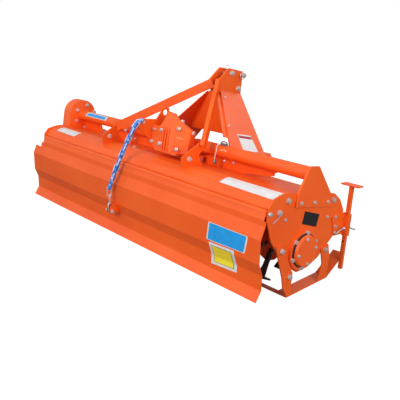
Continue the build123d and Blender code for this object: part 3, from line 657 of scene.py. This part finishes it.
class TILLER_OT_plate_fittings(bpy.types.Operator):
    """Add the bearing's painted shade ring, its flange's ear, the skids' leg tabs and the hinge rod's split
    pin
    """

    bl_idname = "tiller.plate_fittings"
    bl_label = "Plate fittings"

    def execute(self, context):
        bm = bmesh.new()
        # black ring in the gap behind the bearing cover, where there is only shade: painted shade
        spot = facing(at(0, 0, ROTOR.z), RIGHT)
        add_lathe(bm, spot, [(102, 14.2), (102, 17), (96, 24), (60, 24)], 48)
        finish_piece("Bearing_shade_ring", bm, "frame", "painted_shade_black")
        bm = bmesh.new()
        add_prism(bm, [at(14, y, z) for y, z in ((48, 323), (99, 316), (74, 276))], RIGHT, 12)
        finish_piece("Flange_ear", bm, "frame", "cast_orange")
        bm = bmesh.new()
        for x, side in ((0, RIGHT), (-SPAN, LEFT)):
            outline = [at(x, y, z) for y, z in ((-124, 94), (-88, 92), (-84, 150), (-120, 152))]
            add_prism(bm, outline, side, 9.5)
        finish_piece("Skid_leg_tabs", bm, "frame", "orange_paint")
        bm = bmesh.new()
        add_bolt(bm, at(1, -285, 542), RIGHT, 13)
        add_bolt(bm, at(1, -213, 532), RIGHT, 17, 0.4)
        for down in (0, 4):
            wire = [at(4, -208, 517 - down), at(5, -234, 502 - down), at(4, -262, 486 - down)]
            add_rod(bm, wire, 1.7, 8)
        finish_piece("Hinge_split_pin", bm, "frame", "zinc_steel")
        return {"FINISHED"}


# the support chain's centre line, its links and its hose
CHAIN_ROUTE = (
    (-1195, -203, 856), (-1196, -235, 845), (-1208, -268, 808), (-1284, -339, 598), (-1345, -399, 386),
)
CHAIN_END = (-1345, -399, 250)
LINK_L = 76.0
LINK_W = 36.0
LINK_BAR = 9.0
LINK_PITCH = 57.0
HOSE_R = 14.0
# height of each bare link's top, and the degrees that its face is turned
BARE_LINKS = ((404.5, 40.0), (347.5, 115.0), (290.5, 0.0))


def add_link(bm, middle, along, across):
    """One chain link: a closed round bar round a long slot."""
    straight = (LINK_L - LINK_W) / 2
    radius = (LINK_W - LINK_BAR) / 2
    path = []
    for sign in (1, -1):
        for k in range(7):
            turn = math.pi * k / 6
            out = straight + radius * math.sin(turn)
            path.append(middle + (along * sign * out + across * sign * radius * math.cos(turn)) * MM)
    add_rod(bm, path, LINK_BAR / 2, 8, closed=True)


def walk(path, step):
    """Places and directions every so many millimetres along a path."""
    spots = []
    left = 0.0
    for a, b in zip(path, path[1:]):
        length = (b - a).length / MM
        along = (b - a).normalized()
        while left < length:
            spots.append((a + along * left * MM, along))
            left += step
        left -= length
    return spots


class TILLER_OT_chain(bpy.types.Operator):
    """Add the support chain: links in a soft hose, and bare links down to the lug"""

    bl_idname = "tiller.chain"
    bl_label = "Support chain"

    def execute(self, context):
        path = curve_places([at(*place) for place in CHAIN_ROUTE], 10)
        hose = bmesh.new()
        add_rod(hose, path, HOSE_R, 16)
        pieces = [finish_piece("Chain_hose", hose, None, "chain_hose")]
        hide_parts("support_chain")
        ridges = bmesh.new()
        for i, (middle, along) in enumerate(walk(path, LINK_PITCH)[1:-1]):
            side = (RIGHT - along * RIGHT.dot(along)).normalized()
            other = along.cross(side)
            turn = math.radians(40 if i % 2 else 130)
            add_link(ridges, middle, along, side * math.cos(turn) + other * math.sin(turn))
        pieces.append(finish_piece("Links_in_hose", ridges, None, "pale_hose"))
        bare = bmesh.new()
        for top, degrees in BARE_LINKS:
            turn = math.radians(degrees)
            across = Vector((math.sin(turn), math.cos(turn), 0))
            add_link(bare, at(*CHAIN_END[:2], top - LINK_L / 2), UP, across)
        pieces.append(finish_piece("Bare_links", bare, None, "zinc_steel"))
        for piece in pieces:
            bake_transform(piece)
        shackle = bmesh.new()
        add_bolt(shackle, at(-1214, -189, 837), RIGHT, 14)
        add_stud(shackle, at(-1224, -189, 837), LEFT, 14)
        finish_piece("Shackle_bolt", shackle, "frame", "zinc_steel")
        lug = bmesh.new()
        add_bolt(lug, at(-1321, -399, 229), RIGHT, 15, 0.3)
        add_stud(lug, at(-1369, -399, 229), LEFT, 15)
        finish_piece("Lug_bolt", lug, "tail_board", "zinc_steel")
        return {"FINISHED"}


class TILLER_OT_gearbox_fittings(bpy.types.Operator):
    """Add the gearbox's bolts, plugs and casting mark, and the splines of its input shaft"""

    bl_idname = "tiller.gearbox_fittings"
    bl_label = "Gearbox fittings"

    def execute(self, context):
        rng = random.Random(5)
        bm = bmesh.new()
        # x, y, z on the body, thread
        rear_bolts = (
            (-105, GEARBOX_REAR, 60, 14), (-188, GEARBOX_REAR, -28, 13), (-101, GEARBOX_REAR, -30, 16),
            (62, -195, 92, 14), (73, GEARBOX_REAR, -39, 14),
        )
        for x, y, z, size in rear_bolts:
            add_bolt(bm, body_at(x, y, z), BODY_REAR, size, rng.uniform(0, 1))
        add_bolt(bm, body_at(112, -110, 78), RIGHT, 14, 0.2)
        for y, z in ((-150, 60), (-150, -30), (-60, 60), (20, 120), (-20, 128), (30, 70)):
            add_bolt(bm, body_at(-214, y, z), LEFT, 14, rng.uniform(0, 1))
        finish_piece("Gearbox_bolts", bm, "frame", "zinc_steel")
        bm = bmesh.new()
        plug = facing(body_at(-176, GEARBOX_REAR, 57), BODY_REAR)
        add_box(bm, plug, (-19, -8, -1), (19, 8, 9), 2.5)
        finish_piece("Filler_plug", bm, "frame", "zinc_steel")
        bm = bmesh.new()
        vent = facing(body_at(8, -128, 118), BODY_UP)
        add_lathe(bm, vent, [(9, -14), (9, 10), (15, 10), (16, 14), (16, 24), (12, 30), (5, 32)])
        finish_piece("Vent_plug", bm, "frame", "zinc_steel")
        # the raised casting mark in paler enamel: a painted highlight
        bm = bmesh.new()
        add_weld(bm, body_at(50, GEARBOX_REAR, 34), body_at(90, -161, 31), 5.5, rng)
        add_weld(bm, body_at(71, -180, 43), body_at(69, -182, 22), 4.5, rng)
        finish_piece("Casting_mark", bm, "frame", "highlight_enamel")
        bm = bmesh.new()
        shaft = facing(body_at(0, 248, -40), BODY_FORWARD)
        for k in range(6):
            spline = shaft @ Matrix.Rotation(k * math.pi / 3, 4, "Z")
            add_box(bm, spline, (15.0, -4.2, 8), (18.6, 4.2, 106), 0.6)
        add_lathe(bm, shaft, [(20, 0), (24, 3), (24, 10), (20, 13)], 32)
        finish_piece("Shaft_splines", bm, "input_shaft", "bright_steel")
        return {"FINISHED"}


# plates between the beam tube and the deck beside each lower hitch: their rear face, and (x, z) round each
PANEL_Y = 97.0
PANELS = (
    ((-940, 562), (-600, 562), (-313, 600), (-305, 623), (-293, 657), (-853, 657), (-853, 632), (-940, 610)),
    ((-1975, 562), (-1190, 562), (-1190, 657), (-1975, 657)),
    ((-2440, 562), (-2178, 562), (-2178, 596), (-2200, 657), (-2440, 657)),
)


class TILLER_OT_mast_fittings(bpy.types.Operator):
    """Add the bolts of the mast, braces, panels and deck, and the clips of the upper and lower link pins"""

    bl_idname = "tiller.mast_fittings"
    bl_label = "Mast fittings"

    def execute(self, context):
        rng = random.Random(8)
        bm = bmesh.new()
        for y, z in ((214, 500), (298, 407)):
            add_bolt(bm, body_at(MAST_HALF, y, z), RIGHT, 18, rng.uniform(0, 1))
            add_stud(bm, body_at(-MAST_HALF, y, z), LEFT, 18, rng.uniform(0, 1))
        for y, z in ((147, 333), (76, 158)):
            for side in (1, -1):
                add_bolt(bm, leg_at(side, y, z), leg_normal(side), 8, rng.uniform(0, 1))
        for x in BRACE_FEET:
            y, z = -172, 666
            add_lathe(bm, facing(at(x, y, z), RIGHT), [(17, 0), (17, 3), (16, 4)], 24)
            add_bolt(bm, at(x + 3, y, z), RIGHT, 16, rng.uniform(0, 1))
            add_stud(bm, at(x - 10, y, z), LEFT, 16, rng.uniform(0, 1))
        add_bolt(bm, at(-1740, 34, 664), (REAR - UP * 0.5).normalized(), 15, 0.2)
        for x, z in ((-729, 612), (-645, 619), (-1713, 594), (-1838, 637), (-1500, 607)):
            add_stud(bm, at(x, PANEL_Y, z), REAR, 10, rng.uniform(0, 1))
        add_bolt(bm, at(-1415, -124, 616), UP, 13)
        finish_piece("Mast_bolts", bm, "frame", "zinc_steel")
        bm = bmesh.new()
        pin_y, pin_z = 308, 501
        right_end = facing(body_at(73, pin_y, pin_z), RIGHT)
        add_lathe(bm, right_end, [(12.6, -6), (17, -4), (17, 5), (14, 7)], 24)
        ring = oval(body_at(62, pin_y, pin_z - 4), RIGHT * 3 + BODY_FORWARD * 21, BODY_UP * 21, 20)
        add_rod(bm, ring, 2.4, 8, closed=True)
        ring = oval(body_at(0, 205, 538), RIGHT * 9 + BODY_FORWARD * 9, BODY_UP * 13, 20)
        add_rod(bm, ring, 2.8, 8, closed=True)
        left_end = facing(body_at(-73, pin_y, pin_z), LEFT)
        add_lathe(bm, left_end, [(12.6, -6), (21, -4), (21, 6), (18, 8)], 24)
        finish_piece("Top_pin_clip", bm, "frame", "zinc_steel")
        bm = bmesh.new()
        for side in (1, -1):
            out = RIGHT * side
            bracket = HITCH_X + side * 412
            inner = facing(at(bracket - side * 50, LOWER_PIN.y, LOWER_PIN.z), -out)
            add_lathe(bm, inner, [(15.8, -4), (24, -2), (24, 9), (20, 12)], 24)
            clip = at(bracket + side * 104, LOWER_PIN.y, LOWER_PIN.z)
            add_rod(bm, [clip + UP * 24 * MM, clip - UP * 22 * MM], 4.0)
            add_rod(bm, oval(clip + UP * 8 * MM, FORWARD * 16, UP * 16, 20), 2.2, 8, closed=True)
        finish_piece("Lower_pin_clips", bm, "frame", "zinc_steel")
        return {"FINISHED"}


class TILLER_OT_tube_fittings(bpy.types.Operator):
    """Add the linch pin that rests on the beam tube, with its wire and bulb"""

    bl_idname = "tiller.tube_fittings"
    bl_label = "Tube fittings"

    def execute(self, context):
        bm = bmesh.new()
        hoop = oval(at(-704, 66, 727), RIGHT * 26 + FORWARD * 6, UP * 23, 24)
        add_rod(bm, hoop[:13], 4.5)
        add_rod(bm, [at(-731, 60, 727), at(-676, 72, 727)], 5.5, 12)
        add_box(bm, facing(at(-704, 66, 724), UP), (-22, -9, 0), (22, 9, 14), 5)
        finish_piece("Linch_pin", bm, "frame", "dull_steel")
        bm = bmesh.new()
        wire = [
            at(-726, 62, 731), at(-737, 50, 729), at(-739, 34, 714), at(-736, 27, 692), at(-744, 26, 663),
            at(-752, 27, 640), at(-750, 28, 632),
        ]
        add_rod(bm, curve_places(wire), 3.4)
        loose_end = [at(-706, 32, 699), at(-690, 35, 704), at(-668, 36, 705), at(-650, 32, 699)]
        add_rod(bm, curve_places(loose_end, 5), 2.4, 8)
        finish_piece("Pin_wire", bm, "frame", "pale_cord")
        bm = bmesh.new()
        bulb = facing(at(-750, 28, 601), UP)
        add_lathe(bm, bulb, [(3, 0), (9, 3), (12.5, 10), (12.5, 20), (9, 29), (4, 34)])
        finish_piece("Wire_bulb", bm, "frame", "dull_steel")
        return {"FINISHED"}


def add_coil(bm, start, end, radius, wire, turns):
    """Coil spring between two places, sagging a little under its own weight."""
    steps = 9
    along = (end - start).normalized()
    side = along.orthogonal().normalized()
    other = along.cross(side)
    coil = []
    for k in range(turns * steps + 1):
        turn = 2 * math.pi * k / steps
        share = k / (turns * steps)
        sag = UP * -3 * math.sin(math.pi * share)
        out = side * math.cos(turn) * radius + other * math.sin(turn) * radius
        coil.append(start.lerp(end, share) + (out + sag) * MM)
    add_rod(bm, coil, wire, 6)


class TILLER_OT_stand_fittings(bpy.types.Operator):
    """Add each parking stand's lock pin, spring and peg holes"""

    bl_idname = "tiller.stand_fittings"
    bl_label = "Stand fittings"

    def execute(self, context):
        lean = Vector((0, *reversed(polar(1, 6))))              # up along the stands, which lean forward
        rear = Vector((0, -lean.z, lean.y))
        for name, side, x in (("right", RIGHT, 0.0), ("left", LEFT, -SPAN)):
            foot = at(x + side.x * 24, 362, 30)
            bm = bmesh.new()
            # a brown-black disc at each peg hole: painted shade of the hole's inside
            for up in (178, 352):
                hole = facing(foot + (lean * up + rear * 11.05) * MM, rear)
                add_lathe(bm, hole, [(5.6, -1), (5.6, 0.5), (5.0, 0.8)], 16)
            finish_piece(f"Stand_holes_{name}", bm, f"{name}_stand", "dark_bore")
            bm = bmesh.new()
            pin = foot + lean * 262 * MM
            add_rod(bm, [pin + rear * 36 * MM, pin - rear * 40 * MM], 6.0, 12)
            handle = [
                pin + rear * 30 * MM, pin + (rear * 60 - lean * 4) * MM, pin + (rear * 78 - lean * 12) * MM,
                pin + (rear * 84 - lean * 26 - side * 8) * MM,
            ]
            add_rod(bm, curve_places(handle, 5), 4.6)
            add_lathe(bm, facing(pin + rear * 18 * MM, rear), [(9, 0), (11, 2), (11, 8), (8, 10)])
            finish_piece(f"Stand_pin_{name}", bm, "frame", "zinc_steel")
            bm = bmesh.new()
            start = pin - rear * 34 * MM
            add_coil(bm, start, start + Vector((0, 70, -34)) * MM, 3.6, 1.3, 12)
            finish_piece(f"Stand_spring_{name}", bm, "frame", "zinc_steel")
        return {"FINISHED"}


class TILLER_OT_rotor_bolts(bpy.types.Operator):
    """Add the bolts that hold the blades to the rotor's discs"""

    bl_idname = "tiller.rotor_bolts"
    bl_label = "Blade bolts"

    def execute(self, context):
        bm = bmesh.new()
        axis = at(0, 0, ROTOR.z)
        for disc in range(10):
            face = -200.0 - 226.0 * disc
            for k in range(6):
                out = Vector((0, *polar(1, 60 * k + 20 * disc)))
                # every second blade sits on the disc's other face
                head, nut = (9.0, -10.0) if k % 2 == 0 else (0.0, -19.0)
                for radius in (82, 118):
                    for x, side, add in ((head, RIGHT, add_bolt), (nut, LEFT, add_stud)):
                        add(bm, axis + (RIGHT * (face + x) + out * radius) * MM, side, 13, 0.5 * k)
        finish_piece("Blade_bolts", bm, "rotor", "dull_steel")
        return {"FINISHED"}


class TILLER_OT_gear_case_fittings(bpy.types.Operator):
    """Add the bolts of the side gear case's cover, and its oil plug"""

    bl_idname = "tiller.gear_case_fittings"
    bl_label = "Gear case fittings"

    def execute(self, context):
        bm = bmesh.new()
        rng = random.Random(21)
        top_y, top_z = 80, 685
        # y, z of the end, radius of its bolt circle, degrees from forward
        rims = (
            (top_y, top_z, 95, (-30, 10, 50, 90, 130, 170, 210)),
            (ROTOR.y, ROTOR.z, 107, (140, 180, 220, 260, 300, 340, 20)),
        )
        for y, z, radius, turns in rims:
            for degrees in turns:
                forward, up = polar(radius, degrees)
                add_bolt(bm, at(CASE_FACE, y + forward, z + up), LEFT, 10, rng.uniform(0, 1))
        for share in (0.3, 0.5, 0.7):
            y = top_y * (1 - share)
            z = top_z + (ROTOR.z - top_z) * share
            for side in (-1, 1):
                add_bolt(bm, at(CASE_FACE, y + side * (96 + 10 * share), z), LEFT, 10, rng.uniform(0, 1))
        plug = facing(at(CASE_FACE, 60, 560), LEFT)
        add_lathe(bm, plug, [(22, 0), (22, 5), (13, 5), (13, 14), (11, 16)], 24)
        finish_piece("Cover_bolts", bm, "frame", "zinc_steel")
        return {"FINISHED"}


# rear face of the tail board, (y, z)
BOARD_FACE = ((-352.0, 411.0), (-357.0, 274.3), (-333.0, 202.3), (-337.0, 114.7), (-378.0, 57.0))
# upper face of the deck, (y, z)
DECK_FACE = ((-100.0, 610.8), (-140.0, 620.0), (-190.0, 618.0), (-248.0, 600.0))


def along_line(line, value, column):
    """The other coordinate at a value on a bent line."""
    other = 1 - column
    for a, b in zip(line, line[1:]):
        if min(a[column], b[column]) <= value <= max(a[column], b[column]):
            share = (value - a[column]) / (b[column] - a[column])
            return a[other] + (b[other] - a[other]) * share
    nearest = min((line[0], line[-1]), key=lambda end: abs(value - end[column]))
    return nearest[other]


def board_label(x, z, lift):
    """Place just off the tail board's rear face."""
    return at(x, along_line(BOARD_FACE, z, 1) - lift, z)


def deck_label(x, y, lift):
    """Place just off the deck's upper face."""
    return at(x, y, along_line(DECK_FACE, y, 0) + lift)


def tube_label(x, degrees, lift):
    """Place just off the beam tube, by its turn up from straight ahead."""
    forward, up = polar(TUBE_R + lift, degrees)
    return at(x, TUBE.y + forward, TUBE.z + up)


def leg_label(y, z, lift):
    """Place just off the mast's right leg, y and z on the body."""
    return leg_at(1, y, z) + leg_normal(1) * lift * MM


def add_label(bm, corners, lay, lift, inset=0.0, rounded=0.0):
    """Film over a bent face: corners (u, v) run round the label, and lay puts each (u, v) on the face."""
    (u0, v0), (u1, v1), (u2, v2), (u3, v3) = corners
    cells = 24
    corner_from = 0.72          # share of the half height at which rounded corners begin
    grid = []
    for j in range(cells + 1):
        t = inset + (1 - 2 * inset) * j / cells
        row = []
        for i in range(cells + 1):
            s = inset + (1 - 2 * inset) * i / cells
            past = max(0.0, abs(2 * j / cells - 1) - corner_from) / (1 - corner_from)
            s = 0.5 + (s - 0.5) * (1 - rounded * past ** 2)
            u = (u0 * (1 - s) + u1 * s) * (1 - t) + (u3 * (1 - s) + u2 * s) * t
            v = (v0 * (1 - s) + v1 * s) * (1 - t) + (v3 * (1 - s) + v2 * s) * t
            row.append(bm.verts.new(lay(u, v, lift)))
        grid.append(row)
    for low, high in zip(grid, grid[1:]):
        for i in range(cells):
            bm.faces.new((low[i], low[i + 1], high[i + 1], high[i]))


# corners of each label, two coordinates on its face
BLUE_BOARD = ((-397, 409), (-88, 409.5), (-106, 306), (-413, 297))
YELLOW_BOARD = ((-389, 288), (-187, 296), (-183, 156), (-392, 145))
RIGHT_DECK = ((-441, -229), (-441, -151), (-22, -151), (-22, -236))
LEFT_DECK = ((-2345, -226), (-2345, -158), (-2062, -162), (-2062, -234))
TUBE_RIM = ((-2319, 162), (-2300, 105), (-2014, 105), (-2014, 160))
TUBE_BLUE = ((-2305, 155), (-2285, 118), (-2030, 118), (-2034, 154))
LEG_WHITE = ((130, 115), (259, 111), (272, 12), (128, 23))
LEG_RED = ((134, 107), (257, 103), (259, 88), (134, 93))
# name, corners, face, height over it, inset, rounded corners, finish, body
LABELS = (
    ("Board_label_rim", BLUE_BOARD, board_label, 0.7, 0.0, 0.03, "white_vinyl", "tail_board"),
    ("Board_label", BLUE_BOARD, board_label, 1.3, 0.035, 0.02, "blue_vinyl", "tail_board"),
    ("Yellow_label_rim", YELLOW_BOARD, board_label, 0.7, 0.0, 0.0, "white_vinyl", "tail_board"),
    ("Yellow_label_line", YELLOW_BOARD, board_label, 1.1, 0.11, 0.0, "black_plate", "tail_board"),
    ("Yellow_label", YELLOW_BOARD, board_label, 1.5, 0.125, 0.0, "yellow_vinyl", "tail_board"),
    ("Right_deck_label", RIGHT_DECK, deck_label, 0.8, 0.0, 0.0, "white_vinyl", "frame"),
    ("Left_deck_label", LEFT_DECK, deck_label, 0.8, 0.0, 0.0, "white_vinyl", "frame"),
    ("Tube_label_rim", TUBE_RIM, tube_label, 0.5, 0.0, 0.0, "white_vinyl", "frame"),
    ("Tube_label", TUBE_BLUE, tube_label, 1.0, 0.0, 0.0, "blue_vinyl", "frame"),
    ("Mast_label", LEG_WHITE, leg_label, 0.8, 0.0, 0.0, "white_vinyl", "frame"),
    ("Mast_label_strip", LEG_RED, leg_label, 1.3, 0.0, 0.0, "red_vinyl", "frame"),
)


class TILLER_OT_labels(bpy.types.Operator):
    """Add the blank labels and the blank plate"""

    bl_idname = "tiller.labels"
    bl_label = "Blank labels"

    def execute(self, context):
        bm = bmesh.new()
        corners = [at(0, y, z) for y, z in ((11, 486), (143, 436), (118, 365), (-12, 417))]
        add_prism(bm, corners, RIGHT, 2.5)
        finish_piece("Blank_black_plate", bm, "frame", "black_plate")
        for name, corners, lay, lift, inset, rounded, finish, body in LABELS:
            bm = bmesh.new()
            add_label(bm, corners, lay, lift, inset, rounded)
            finish_piece(name, bm, body, finish)
        return {"FINISHED"}


class TILLER_OT_welds(bpy.types.Operator):
    """Add the weld beads of the mast, the tube support, the brace feet and the beam tube"""

    bl_idname = "tiller.welds"
    bl_label = "Weld beads"

    def execute(self, context):
        rng = random.Random(3)
        bm = bmesh.new()
        # the ends of each bead on the body
        mast_beads = (
            ((MAST_HALF, 94, 432), (MAST_HALF, 178, 527)), ((-MAST_HALF, 94, 432), (-MAST_HALF, 178, 527)),
            ((MAST_HALF, 92, 388), (MAST_HALF, 92, 425)),
        )
        for start, end in mast_beads:
            add_weld(bm, body_at(*start), body_at(*end), WELD_R, rng)
        plate_beads = [
            ((PLATE_T, -85, 533), (PLATE_T, -66, 606)), ((0, -66, 606), (0, 33, 741)),
            ((0, 243, 460), (0, 228, 547)), ((0, -85, 531), (0, 243, 458)),
        ]
        for x in BRACE_FEET:
            plate_beads += [((x, -228, 607), (x, -190, 620)), ((x, -190, 620), (x, -140, 622))]
        for start, end in plate_beads:
            add_weld(bm, at(*start), at(*end), WELD_R, rng)
        for x in (-3.0, -SPAN + 3.0, -620.0, -1400.0):
            ring = oval(at(x, TUBE.y, TUBE.z), FORWARD * (TUBE_R + 1), UP * (TUBE_R + 1), 40)
            for start, end in zip(ring, ring[1:] + ring[:1]):
                add_weld(bm, start, end, WELD_R, rng)
        # welds in the casting enamel, painted lighter as a highlight
        finish_piece("Weld_beads", bm, "frame", "cast_orange")
        return {"FINISHED"}


class TILLER_OT_hinge_strips(bpy.types.Operator):
    """Add the sleeve that rolls over the hinge rod with the tail board, and its fixed cover on the deck"""

    bl_idname = "tiller.hinge_strips"
    bl_label = "Hinge strips"

    def execute(self, context):
        inset = 16
        axis = at(-inset, HINGE.y, HINGE.z)
        # name, body, outer and inner radius, tens of degrees up from straight ahead
        strips = (
            ("Hinge_sleeve", "tail_board", 24.4, 22.4, slice(8, 17)),
            ("Hinge_cover", "frame", 29.4, 28.4, slice(8, 12)),
        )
        for name, body, outer, inner, arc in strips:
            bm = bmesh.new()
            outside, inside = [oval(axis, FORWARD * r, UP * r, 36)[arc] for r in (outer, inner)]
            add_prism(bm, outside + inside[::-1], LEFT, SPAN - 2 * inset)
            finish_piece(name, bm, body, "orange_paint")
        return {"FINISHED"}


class TILLER_OT_hitch_plates(bpy.types.Operator):
    """Add the plates under the beam tube and the lower ends of the mast's legs beside the hitch brackets"""

    bl_idname = "tiller.hitch_plates"
    bl_label = "Hitch plates"

    def execute(self, context):
        bm = bmesh.new()
        for outline in PANELS:
            add_prism(bm, [at(x, PANEL_Y, z) for x, z in outline], FORWARD, 8)
        finish_piece("Hitch_panels", bm, "frame", "orange_paint")
        bm = bmesh.new()
        # y, z on the body
        foot = ((60, -20), (333, 43), (333, 4), (75, -52))
        for side in (1, -1):
            add_prism(bm, [leg_at(side, y, z) for y, z in foot], -leg_normal(side), 10)
        finish_piece("Mast_leg_feet", bm, "frame", "orange_paint")
        return {"FINISHED"}


class TILLER_OT_stage(bpy.types.Operator):
    """Set the floor, the lamps, the world and the camera"""

    bl_idname = "tiller.stage"
    bl_label = "Stage"

    def execute(self, context):
        scene = context.scene
        view = scene.tiller_stage
        bm = bmesh.new()
        half = 30.0
        corners = ((-half, -half, 0), (half, -half, 0), (half, half, 0), (-half, half, 0))
        bm.faces.new([bm.verts.new(corner) for corner in corners])
        mesh = bpy.data.meshes.new("Floor")
        bm.to_mesh(mesh)
        bm.free()
        floor = bpy.data.objects.new("Floor", mesh)
        scene.collection.objects.link(floor)
        floor.data.materials.append(self.floor_material())
        self.world(scene)
        # name, place, aim, size, power in watts
        lamps = (
            ("Key_lamp", (0.9, -5.2, 3.7), (0, 0, 0.4), 2.4, 180.0),
            ("Side_lamp", (5.4, -0.6, 2.6), (0.6, 0, 0.5), 2.4, 120.0),
            ("Fill_lamp", (-4.5, -3.0, 3.6), (0, 0, 0.4), 3.0, 25.0),
            ("Rear_lamp", (0.5, 4.8, 4.2), (0, 0, 0.5), 3.0, 40.0),
        )
        for name, place, aim, size, power in lamps:
            light = bpy.data.lights.new(name, "AREA")
            light.shape = "DISK"
            light.size = size
            light.energy = power
            lamp = bpy.data.objects.new(name, light)
            # gloss shows only the two lamps that stand before and behind the machine
            lamp.visible_glossy = name in ("Key_lamp", "Rear_lamp")
            lamp.location = place
            lamp.rotation_euler = (Vector(aim) - Vector(place)).to_track_quat("-Z", "Y").to_euler()
            scene.collection.objects.link(lamp)
        camera_data = bpy.data.cameras.new("Camera")
        camera_data.lens = view.lens
        camera_data.sensor_width = 36.0
        camera = bpy.data.objects.new("Camera", camera_data)
        stand = Matrix.Translation(at(1830.6, -2408.9, 1588.9))
        turn = Euler((math.pi / 2 - view.elevation, 0, view.azimuth), "XYZ").to_matrix().to_4x4()
        roll = Matrix.Rotation(math.radians(-0.3), 4, "Z")
        camera.matrix_world = stand @ turn @ roll
        scene.collection.objects.link(camera)
        scene.camera = camera
        scene.view_settings.view_transform = "Standard"
        return {"FINISHED"}

    def floor_material(self):
        """Pale seamless studio floor: white to the lens, and plain grey for the light it throws back."""
        floor, tree = new_material("Studio_floor_paint")
        seen = self.seen_by_lens(tree, add_node(tree, "ShaderNodeLightPath"))
        matt = add_node(tree, "ShaderNodeBsdfDiffuse", inputs={"Color": linear("808080"), "Roughness": 0.9})
        glow = add_node(tree, "ShaderNodeEmission", inputs={"Color": linear("FFFFFF"), "Strength": 0.93})
        lit = add_node(tree, "ShaderNodeAddShader", links={0: (matt, "BSDF"), 1: (glow, "Emission")})
        mixed = add_node(
            tree, "ShaderNodeMixShader", links={"Fac": seen, 1: (matt, "BSDF"), 2: (lit, "Shader")},
        )
        add_node(tree, "ShaderNodeOutputMaterial", links={"Surface": (mixed, "Shader")})
        return floor

    def seen_by_lens(self, tree, path):
        """The (node, output) that is 1 for the lens, also through glass, and 0 for all other light."""
        seen = add_node(
            tree, "ShaderNodeMath", {"operation": "MAXIMUM"},
            links={0: (path, "Is Camera Ray"), 1: (path, "Is Transmission Ray")},
        )
        return seen, "Value"

    def world(self, scene):
        """Soft surround: white to the lens, half as bright on the machine, and dimmer in its gloss."""
        scene.world = bpy.data.worlds.new("Studio")
        scene.world.use_nodes = True
        tree = scene.world.node_tree
        tree.nodes.clear()
        path = add_node(tree, "ShaderNodeLightPath")
        soft = add_node(
            tree, "ShaderNodeMapRange", inputs={"To Min": 0.54, "To Max": 0.48},
            links={"Value": (path, "Is Glossy Ray")},
        )
        strength = add_node(
            tree, "ShaderNodeMapRange", inputs={"To Max": 1.0},
            links={"Value": self.seen_by_lens(tree, path), "To Min": (soft, "Result")},
        )
        back = add_node(
            tree, "ShaderNodeBackground", inputs={"Color": linear("FFFFFF")},
            links={"Strength": (strength, "Result")},
        )
        add_node(tree, "ShaderNodeOutputWorld", links={"Surface": (back, "Background")})


class TILLER_PT_panel(bpy.types.Panel):
    """Lists the tiller's settings and operators"""

    bl_label = "Tiller"
    bl_idname = "TILLER_PT_panel"
    bl_space_type = "VIEW_3D"
    bl_region_type = "UI"
    bl_category = "Tiller"

    def draw(self, context):
        for name, group in SETTINGS.items():
            for key in group.__annotations__:
                self.layout.prop(getattr(context.scene, name), key)
        for operator in OPERATORS:
            self.layout.operator(operator.bl_idname)


OPERATORS = (
    TILLER_OT_stage, TILLER_OT_paint, TILLER_OT_plate_bolts, TILLER_OT_plate_fittings, TILLER_OT_chain,
    TILLER_OT_gearbox_fittings, TILLER_OT_mast_fittings, TILLER_OT_tube_fittings, TILLER_OT_stand_fittings,
    TILLER_OT_rotor_bolts, TILLER_OT_gear_case_fittings, TILLER_OT_labels, TILLER_OT_welds,
    TILLER_OT_hinge_strips, TILLER_OT_hitch_plates,
)
SETTINGS = {
    "tiller_paint": TILLER_PG_paint,
    "tiller_fasteners": TILLER_PG_fasteners,
    "tiller_stage": TILLER_PG_stage,
}


def register():
    """Registers the settings, operators and panel."""
    for item in (*SETTINGS.values(), *OPERATORS, TILLER_PT_panel):
        bpy.utils.register_class(item)
    for name, group in SETTINGS.items():
        setattr(bpy.types.Scene, name, bpy.props.PointerProperty(type=group))


def unregister():
    """Takes away what register added."""
    for name in SETTINGS:
        delattr(bpy.types.Scene, name)
    for item in reversed((*SETTINGS.values(), *OPERATORS, TILLER_PT_panel)):
        bpy.utils.unregister_class(item)


def main():
    """Builds the whole scene."""
    register()
    for operator in OPERATORS:
        group, name = operator.bl_idname.split(".")
        getattr(getattr(bpy.ops, group), name)()


if __name__ == "__main__":
    main()
